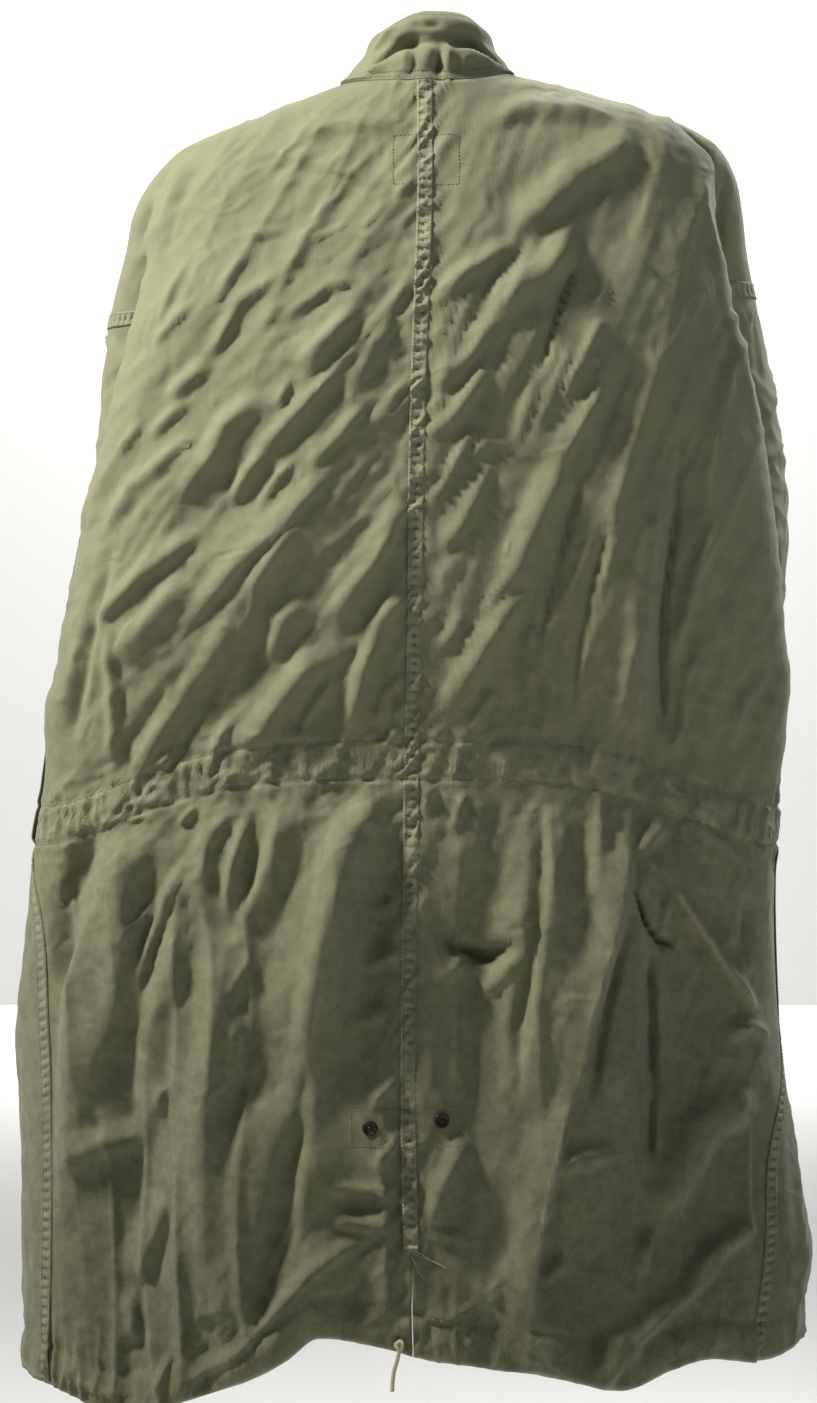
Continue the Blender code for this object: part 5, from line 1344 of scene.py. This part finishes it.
def seam_rows():
    """Rows of stitches along the seams, the waist, the hem, the cuffs and the zip."""
    band_top = BAND_STAND + STITCH_LIFT
    rows = spaced(0.004, SPLIT_ROW, 900)
    for side, finish in ((LEFT, "fray"), (RIGHT, "thread")):
        stitches("centre_seam_stitches_" + SIDE_NAMES[side],
                 [lifted(surface(side, BACK, 0.0, rows, STITCHED_HALF), band_top)], finish)
    down = spaced(1.03, 2.99, 800)
    around = spaced(0.035, 0.985, 330)
    for side in (LEFT, RIGHT):
        name = SIDE_NAMES[side]
        stitches("side_seam_stitches_" + name,
                 [lifted(surface(side, face, 1.0, down, -STITCHED_HALF), band_top)
                  for face in (BACK, FRONT)])
        stitches("waist_stitches_" + name,
                 [surface(side, face, around, row)[:2] for face in (BACK, FRONT)
                  for row in (WAIST_ROW - CASING_HALF, WAIST_ROW + CASING_HALF)])
        stitches("hem_stitches_" + name, [surface(side, face, around, 2.93)[:2] for face in (BACK, FRONT)])
        arm_rows = []
        for face, across, turn in arm_columns(side, 260):
            arm_rows.append(lifted(surface(side, face, across, 0.9815), band_top))
            arm_rows.append(lifted(sleeve_surface(side, turn, 0.0098), band_top))
        stitches("armhole_stitches_" + name, arm_rows)
        turns = spaced(0.0, 360.0, 360)
        stitches("cuff_stitches_" + name, [lifted(sleeve_surface(side, turns, key), 1.2)
                                           for key in (CUFF_KEY + 0.012, CUFF_END - 0.02)])
        stitches("zip_stitches_" + name,
                 [surface(side, FRONT, 0.0, spaced(0.03, 2.97, 900), 8.0)[:2]])
    places = neckline(120)
    stitches("collar_stitches", [lifted(on_neckline(places, np.array([height]), collar_surface), 0.3)
                                 for height in (0.055, 0.13, 0.93)])


def outline(tree, corners, lift=0.2):
    """A closed row of stitches on the back through some corners seen from behind."""
    points, normals = [], []
    for (x0, z0), (x1, z1) in zip(corners, corners[1:] + corners[:1]):
        steps = max(int(math.hypot(x1 - x0, z1 - z0) / 1.5), 1)
        for step in range(steps):
            point, normal = on_back(tree, mix(x0, x1, step / steps), mix(z0, z1, step / steps))
            points.append(point + normal * lift)
            normals.append(normal)
    return np.array(points), np.array(normals)


def box_corners(low_x, high_x, low_z, high_z, inset):
    return [(low_x + inset, high_z - inset), (high_x - inset, high_z - inset),
            (high_x - inset, low_z + inset), (low_x + inset, low_z + inset)]


def patch_stitches():
    tree = tree_of(SEWN_BACK)
    for name, box in PATCHES.items():
        stitches(name + "_stitches", [outline(tree, box_corners(*box, 1.5))])


def close_up(bm, apart):
    """Joins what lies closer together than a distance, and turns all faces outward."""
    bmesh.ops.remove_doubles(bm, verts=bm.verts[:], dist=apart)
    bmesh.ops.recalc_face_normals(bm, faces=bm.faces[:])


def snap(name):
    """A stamped stud: a rolled rim round a sunken middle with a small peak."""
    low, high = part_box(name)
    x, z = (low.x + high.x) / 2.0 / MM, (low.z + high.z) / 2.0 / MM
    point, normal = on_back(tree_of(PANELS), x, z)
    bm = bmesh.new()
    verts = [bm.verts.new((radius * MM, 0.0, height * MM)) for radius, height in SNAP_PROFILE]
    edges = [bm.edges.new(pair) for pair in zip(verts, verts[1:])]
    bmesh.ops.spin(bm, geom=verts + edges, axis=(0, 0, 1), cent=(0, 0, 0), angle=math.tau, steps=36,
                   use_merge=True)
    close_up(bm, 0.00001)
    turn = Vector(normal).to_track_quat("Z", "Y").to_matrix().to_4x4()
    bmesh.ops.transform(bm, matrix=Matrix.Translation(Vector(point + normal * 0.6) * MM) @ turn,
                        verts=bm.verts[:])
    add_piece(name + "_stud", bm, "snap", [name])


def bar_tack():
    """Dense upright stitches that stop the split from tearing on, with the pale threads left by wear."""
    low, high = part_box("bar_tack")
    z0, z1 = low.z / MM, high.z / MM
    tree = tree_of(SEWN_BACK)
    bm = bmesh.new()
    for x in spaced(low.x / MM + 0.6, high.x / MM - 0.6, 15):
        line = [on_back(tree, x, z) for z in spaced(z0 - 0.6, z1 + 0.6, 4)]
        spread_stitches(bm, np.array([place[0] for place in line]), np.array([place[1] for place in line]),
                        length=z1 - z0 - 0.3, gap=0.1, width=0.42)
    add_piece("split_bar_tack", bm, "fray", ["bar_tack"])


def add_spline(curve, kind, path):
    spline = curve.splines.new(kind)
    spline.points.add(len(path) - 1)
    for point, place in zip(spline.points, path):
        point.co = (*place, 1.0)
    return spline


def new_tube(name, radius, sides):
    """An empty round curve, its radius in millimetres."""
    curve = bpy.data.curves.new(name, "CURVE")
    curve.dimensions = "3D"
    curve.bevel_depth = radius * MM
    curve.bevel_resolution = sides
    curve.use_fill_caps = True
    return curve


def tube_mesh(name, paths, radius, finish, sides=3, replaced=()):
    """Soft tubes along paths of points in millimetres, made a mesh."""
    curve = new_tube(name + "_path", radius, sides)
    for path in paths:
        spline = add_spline(curve, "NURBS", [[value * MM for value in place] for place in path])
        spline.order_u = 4
        spline.resolution_u = 6
        spline.use_endpoint_u = True
    drawn = put_in_scene(name + "_path", curve)
    bpy.context.view_layer.update()
    mesh = bpy.data.meshes.new_from_object(drawn)
    bpy.data.objects.remove(drawn)
    bm = bmesh.new()
    bm.from_mesh(mesh)
    bpy.data.meshes.remove(mesh)
    close_up(bm, 0.000005)
    return add_piece(name, bm, finish, replaced)


def frayed_threads():
    """Loose ends of broken thread at the top of the split, lying on the cloth."""
    tree = tree_of(SEWN_BACK)
    paths = []
    for path in FRAYS:
        line = []
        for index, (x, z) in enumerate(path):
            point, normal = on_back(tree, x, z)
            line.append(tuple(point + normal * (0.5 + 0.5 * (index % 2))))
        paths.append(line)
    tube_mesh("frayed_threads", paths, 0.22, "fray", sides=1)


def cord_route():
    """The hem cord's centreline in metres, drawn smoothly through its few known points."""
    knots = [Vector(place) for place in CORD_ROUTE]
    knots = [knots[0] * 2.0 - knots[1]] + knots + [knots[-1] * 2.0 - knots[-2]]
    route = []
    for before, start, end, after in zip(knots, knots[1:], knots[2:], knots[3:]):
        for step in range(4):
            t = step / 4.0
            bend = before * 2.0 - start * 5.0 + end * 4.0 - after
            twist = start * 3.0 - before - end * 3.0 + after
            route.append((start * 2.0 + (end - before) * t + bend * t * t + twist * t ** 3) * 0.5 * MM)
    return route + [knots[-2] * MM]


def hem_cord():
    """The drawcord's free end below the hem, and the knot that holds it there."""
    route = cord_route()
    curve = new_tube("hem_cord_braid", CORD_DIAMETER / 2.0, 5)
    add_spline(curve, "POLY", route)
    curve.materials.append(material("cord"))
    cord = put_in_scene("hem_cord_braid", curve)
    place_on_parka(cord, ["hem_cord"])
    low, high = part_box("hem_cord_knot")
    middle = (low + high) / 2.0 / MM
    loops = []
    for step in range(40):
        turn = math.tau * step / 39.0
        reach = KNOT_REACH + KNOT_SWAY * math.cos(3.0 * turn)
        loops.append((middle.x + reach * math.cos(2.0 * turn), middle.y + KNOT_DEPTH * math.sin(3.0 * turn),
                      middle.z + reach * math.sin(2.0 * turn) * 1.1))
    knot = tube_mesh("hem_cord_overhand_knot", [loops], KNOT_RADIUS, "cord",
                     replaced=["hem_cord_knot"])


def zip_teeth():
    """The closed row of stamped teeth, which grip each other from the two tapes in turn."""
    tooth = bmesh.new()
    bmesh.ops.create_cube(tooth, size=1.0)
    bmesh.ops.scale(tooth, vec=Vector(TOOTH_SIZE) * MM, verts=tooth.verts[:])
    bmesh.ops.bevel(tooth, geom=tooth.edges[:], offset=TOOTH_BEVEL * MM, segments=1, affect="EDGES",
                    profile=0.5, material=-1)
    template = mesh_of("zip_tooth", tooth)
    low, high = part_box("zip_chain")
    rows = spaced(0.02, ZIP_END_ROW, 1600)
    points, normals, _ = surface(LEFT, FRONT, 0.0, rows)
    bm = bmesh.new()
    side, last = 1, None
    for point, normal in zip(points, normals):
        if point[2] > high.z / MM - CHAIN_MARGIN or (last is not None and last - point[2] < TOOTH_PITCH):
            continue
        if point[2] < low.z / MM + CHAIN_MARGIN:
            break
        last, side = point[2], -side
        out = Vector(normal)
        turn = Matrix.Rotation(-math.atan2(out.z, -out.y), 4, "X")
        place = Vector(point) - out * TOOTH_SINK + Vector((side * TOOTH_SHIFT, 0.0, 0.0))
        bm.from_mesh(template)
        fresh = bm.verts[-len(template.vertices):]
        bmesh.ops.transform(bm, matrix=Matrix.Translation(place * MM) @ turn, verts=fresh)
    bpy.data.meshes.remove(template)
    add_piece("zip_teeth", bm, "zip", ["zip_chain"], smooth_shaded=False)


def finish_zip_metal():
    """The slider and its pull tab keep their own shapes and take an aged finish."""
    for name in ("zip_slider", "zip_pull"):
        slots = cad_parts[name].data.materials
        slots.clear()
        slots.append(material("zip"))


def area_light(light):
    lamp = bpy.data.lights.new(light.name, "AREA")
    lamp.size, lamp.energy, lamp.color = light.size, light.power, linear(light.colour)[:3]
    thing = put_in_scene(light.name, lamp)
    thing.location = light.place
    aim = Vector(light.target) - Vector(light.place)
    thing.rotation_euler = aim.to_track_quat("-Z", "Y").to_euler()


def board(name, matrix):
    bm = bmesh.new()
    bmesh.ops.create_grid(bm, x_segments=2, y_segments=2, size=BOARD_HALF, matrix=matrix)
    mesh = mesh_of(name, bm)
    mesh.materials.append(material("board"))
    thing = put_in_scene(name, mesh)


class ParkaSizes(bpy.types.PropertyGroup):
    """Sizes of the visual model."""
    stitch: FloatProperty(name="Stitch", description="Length of one stitch", default=0.0023, unit="LENGTH")
    camera_distance: FloatProperty(name="Camera distance", description="From the parka to the camera",
                                   default=3.6, unit="LENGTH")


def hex_colour(name, code):
    return StringProperty(name=name, description="sRGB colour as a hex number", default=code)


class ParkaColours(bpy.types.PropertyGroup):
    """Colours of the finishes."""
    deep: hex_colour("Cloth, deep", "#43442f")
    plain: hex_colour("Cloth", "#55563c")
    # Faded colour of the cloth, also used for the painted light that makes it paler towards the shoulders.
    faded: hex_colour("Cloth, faded", "#7a7b5e")
    worn: hex_colour("Cloth, worn edges", "#9d9c82")
    seam_deep: hex_colour("Felled seam, deep", "#44452f")
    seam_plain: hex_colour("Felled seam", "#57583f")
    # Faded colour of the felled seams, also used for the same painted light from above.
    seam_faded_and_top_lit: hex_colour("Felled seam, faded", "#7f8065")
    thread: hex_colour("Thread", "#56563f")
    thread_pale: hex_colour("Thread, faded", "#86856c")
    fray: hex_colour("Pale thread", "#8f8e76")
    fray_pale: hex_colour("Pale thread, faded", "#b3b09a")
    cord: hex_colour("Cord", "#b9b39a")
    cord_dirty: hex_colour("Cord, soiled", "#8d866c")
    snap: hex_colour("Snap", "#2b2822")
    snap_bare: hex_colour("Snap, rubbed", "#6e6452")
    zip_coat: hex_colour("Zip, patina", "#6b5a38")
    zip_bare: hex_colour("Zip, rubbed", "#a48a52")
    board: hex_colour("Boards", "#e4e4e2")


class PARKA_OT_camera(bpy.types.Operator):
    """Places the camera where the photograph was taken from"""
    bl_idname = "parka.camera"
    bl_label = "Camera"

    def execute(self, context):
        distance = context.scene.parka_sizes.camera_distance
        lens = bpy.data.cameras.new("camera")
        lens.sensor_fit = "VERTICAL"
        lens.lens_unit = "FOV"
        lens.angle = 2.0 * math.atan(FRAME_HEIGHT / 2.0 / distance)
        thing = put_in_scene("camera", lens)
        thing.location = (SEEN_FROM.x * MM, distance, SEEN_FROM.z * MM)
        thing.rotation_euler = (math.radians(90.0), 0.0, math.radians(180.0))
        context.scene.camera = thing
        return {"FINISHED"}


class PARKA_OT_hem_cord(bpy.types.Operator):
    """Makes the free end of the hem's cord and its knot"""
    bl_idname = "parka.hem_cord"
    bl_label = "Hem Cord"

    def execute(self, context):
        hem_cord()
        return {"FINISHED"}


class PARKA_OT_panels(bpy.types.Operator):
    """Makes the two halves of the back and of the front"""
    bl_idname = "parka.panels"
    bl_label = "Backs and Fronts"

    def execute(self, context):
        for side in (LEFT, RIGHT):
            panel(side, BACK, BACK_CELLS)
            panel(side, FRONT, FRONT_CELLS)
        return {"FINISHED"}


class PARKA_OT_sleeves(bpy.types.Operator):
    """Makes the sleeves and their cuffs"""
    bl_idname = "parka.sleeves"
    bl_label = "Sleeves"

    def execute(self, context):
        for side in (LEFT, RIGHT):
            sleeve(side, FRONT_CELLS)
            cuff(side, FRONT_CELLS)
        return {"FINISHED"}


class PARKA_OT_collar(bpy.types.Operator):
    """Makes the rolled collar"""
    bl_idname = "parka.collar"
    bl_label = "Collar"

    def execute(self, context):
        collar()
        return {"FINISHED"}


class PARKA_OT_seams(bpy.types.Operator):
    """Makes the puckered felled seams, the waist tunnel and the facings"""
    bl_idname = "parka.seams"
    bl_label = "Seams"

    def execute(self, context):
        centre_band()
        for side in (LEFT, RIGHT):
            side_band(side)
            arm_band(side)
            for face in (BACK, FRONT):
                casing(side, face)
        for name, box in PATCHES.items():
            patch(name, *box)
        return {"FINISHED"}


class PARKA_OT_stitches(bpy.types.Operator):
    """Sews the rows of stitches, the bar tack and its broken threads"""
    bl_idname = "parka.stitches"
    bl_label = "Stitches"

    def execute(self, context):
        seam_rows()
        patch_stitches()
        bar_tack()
        frayed_threads()
        return {"FINISHED"}


class PARKA_OT_snaps(bpy.types.Operator):
    """Makes the two stamped studs of the tail's fastening"""
    bl_idname = "parka.snaps"
    bl_label = "Snaps"

    def execute(self, context):
        for name in ("snap_left", "snap_right"):
            snap(name)
        return {"FINISHED"}


class PARKA_OT_zip(bpy.types.Operator):
    """Makes the zip's tapes and teeth, and finishes its slider and pull tab"""
    bl_idname = "parka.zip"
    bl_label = "Zip"

    def execute(self, context):
        for side in (LEFT, RIGHT):
            zip_tape(side)
        zip_teeth()
        finish_zip_metal()
        return {"FINISHED"}


class PARKA_OT_stage(bpy.types.Operator):
    """Makes the pale floor, the backdrop and the soft light"""
    bl_idname = "parka.stage"
    bl_label = "Stage"

    def execute(self, context):
        board("floor", Matrix.Translation((0.0, 0.0, FLOOR_Z)))
        upright = Matrix.Rotation(math.radians(90.0), 4, "X")
        board("backdrop", Matrix.Translation((0.0, BACKDROP_Y, 0.0)) @ upright)
        for light in LIGHTS:
            area_light(light)
        world = bpy.data.worlds.new("studio")
        context.scene.world = world
        world.use_nodes = True
        sky = world.node_tree.nodes["Background"]
        sky.inputs["Color"].default_value = linear("#fbfbfb")
        sky.inputs["Strength"].default_value = 0.045
        context.scene.view_settings.view_transform = "Standard"
        return {"FINISHED"}


OPERATORS = (PARKA_OT_camera, PARKA_OT_hem_cord, PARKA_OT_panels, PARKA_OT_sleeves, PARKA_OT_collar,
             PARKA_OT_seams, PARKA_OT_stitches, PARKA_OT_snaps, PARKA_OT_zip, PARKA_OT_stage)


class PARKA_PT_pieces(bpy.types.Panel):
    """Lists the parka's pieces in the order they are made"""
    bl_label = "Parka"
    bl_idname = "PARKA_PT_pieces"
    bl_space_type = "VIEW_3D"
    bl_region_type = "UI"
    bl_category = "Parka"

    def draw(self, context):
        for settings in (context.scene.parka_sizes, context.scene.parka_colours):
            for name in settings.__annotations__:
                self.layout.prop(settings, name)
        for operator in OPERATORS:
            self.layout.operator(operator.bl_idname)


CLASSES = (ParkaSizes, ParkaColours, *OPERATORS, PARKA_PT_pieces)


def register():
    for kind in CLASSES:
        bpy.utils.register_class(kind)
    bpy.types.Scene.parka_sizes = PointerProperty(type=ParkaSizes)
    bpy.types.Scene.parka_colours = PointerProperty(type=ParkaColours)


def unregister():
    del bpy.types.Scene.parka_colours
    del bpy.types.Scene.parka_sizes
    for kind in reversed(CLASSES):
        bpy.utils.unregister_class(kind)


def main():
    register()
    for operator in OPERATORS:
        group, name = operator.bl_idname.split(".")
        getattr(getattr(bpy.ops, group), name)()
    bpy.context.view_layer.update()


if __name__ == "__main__":
    main()
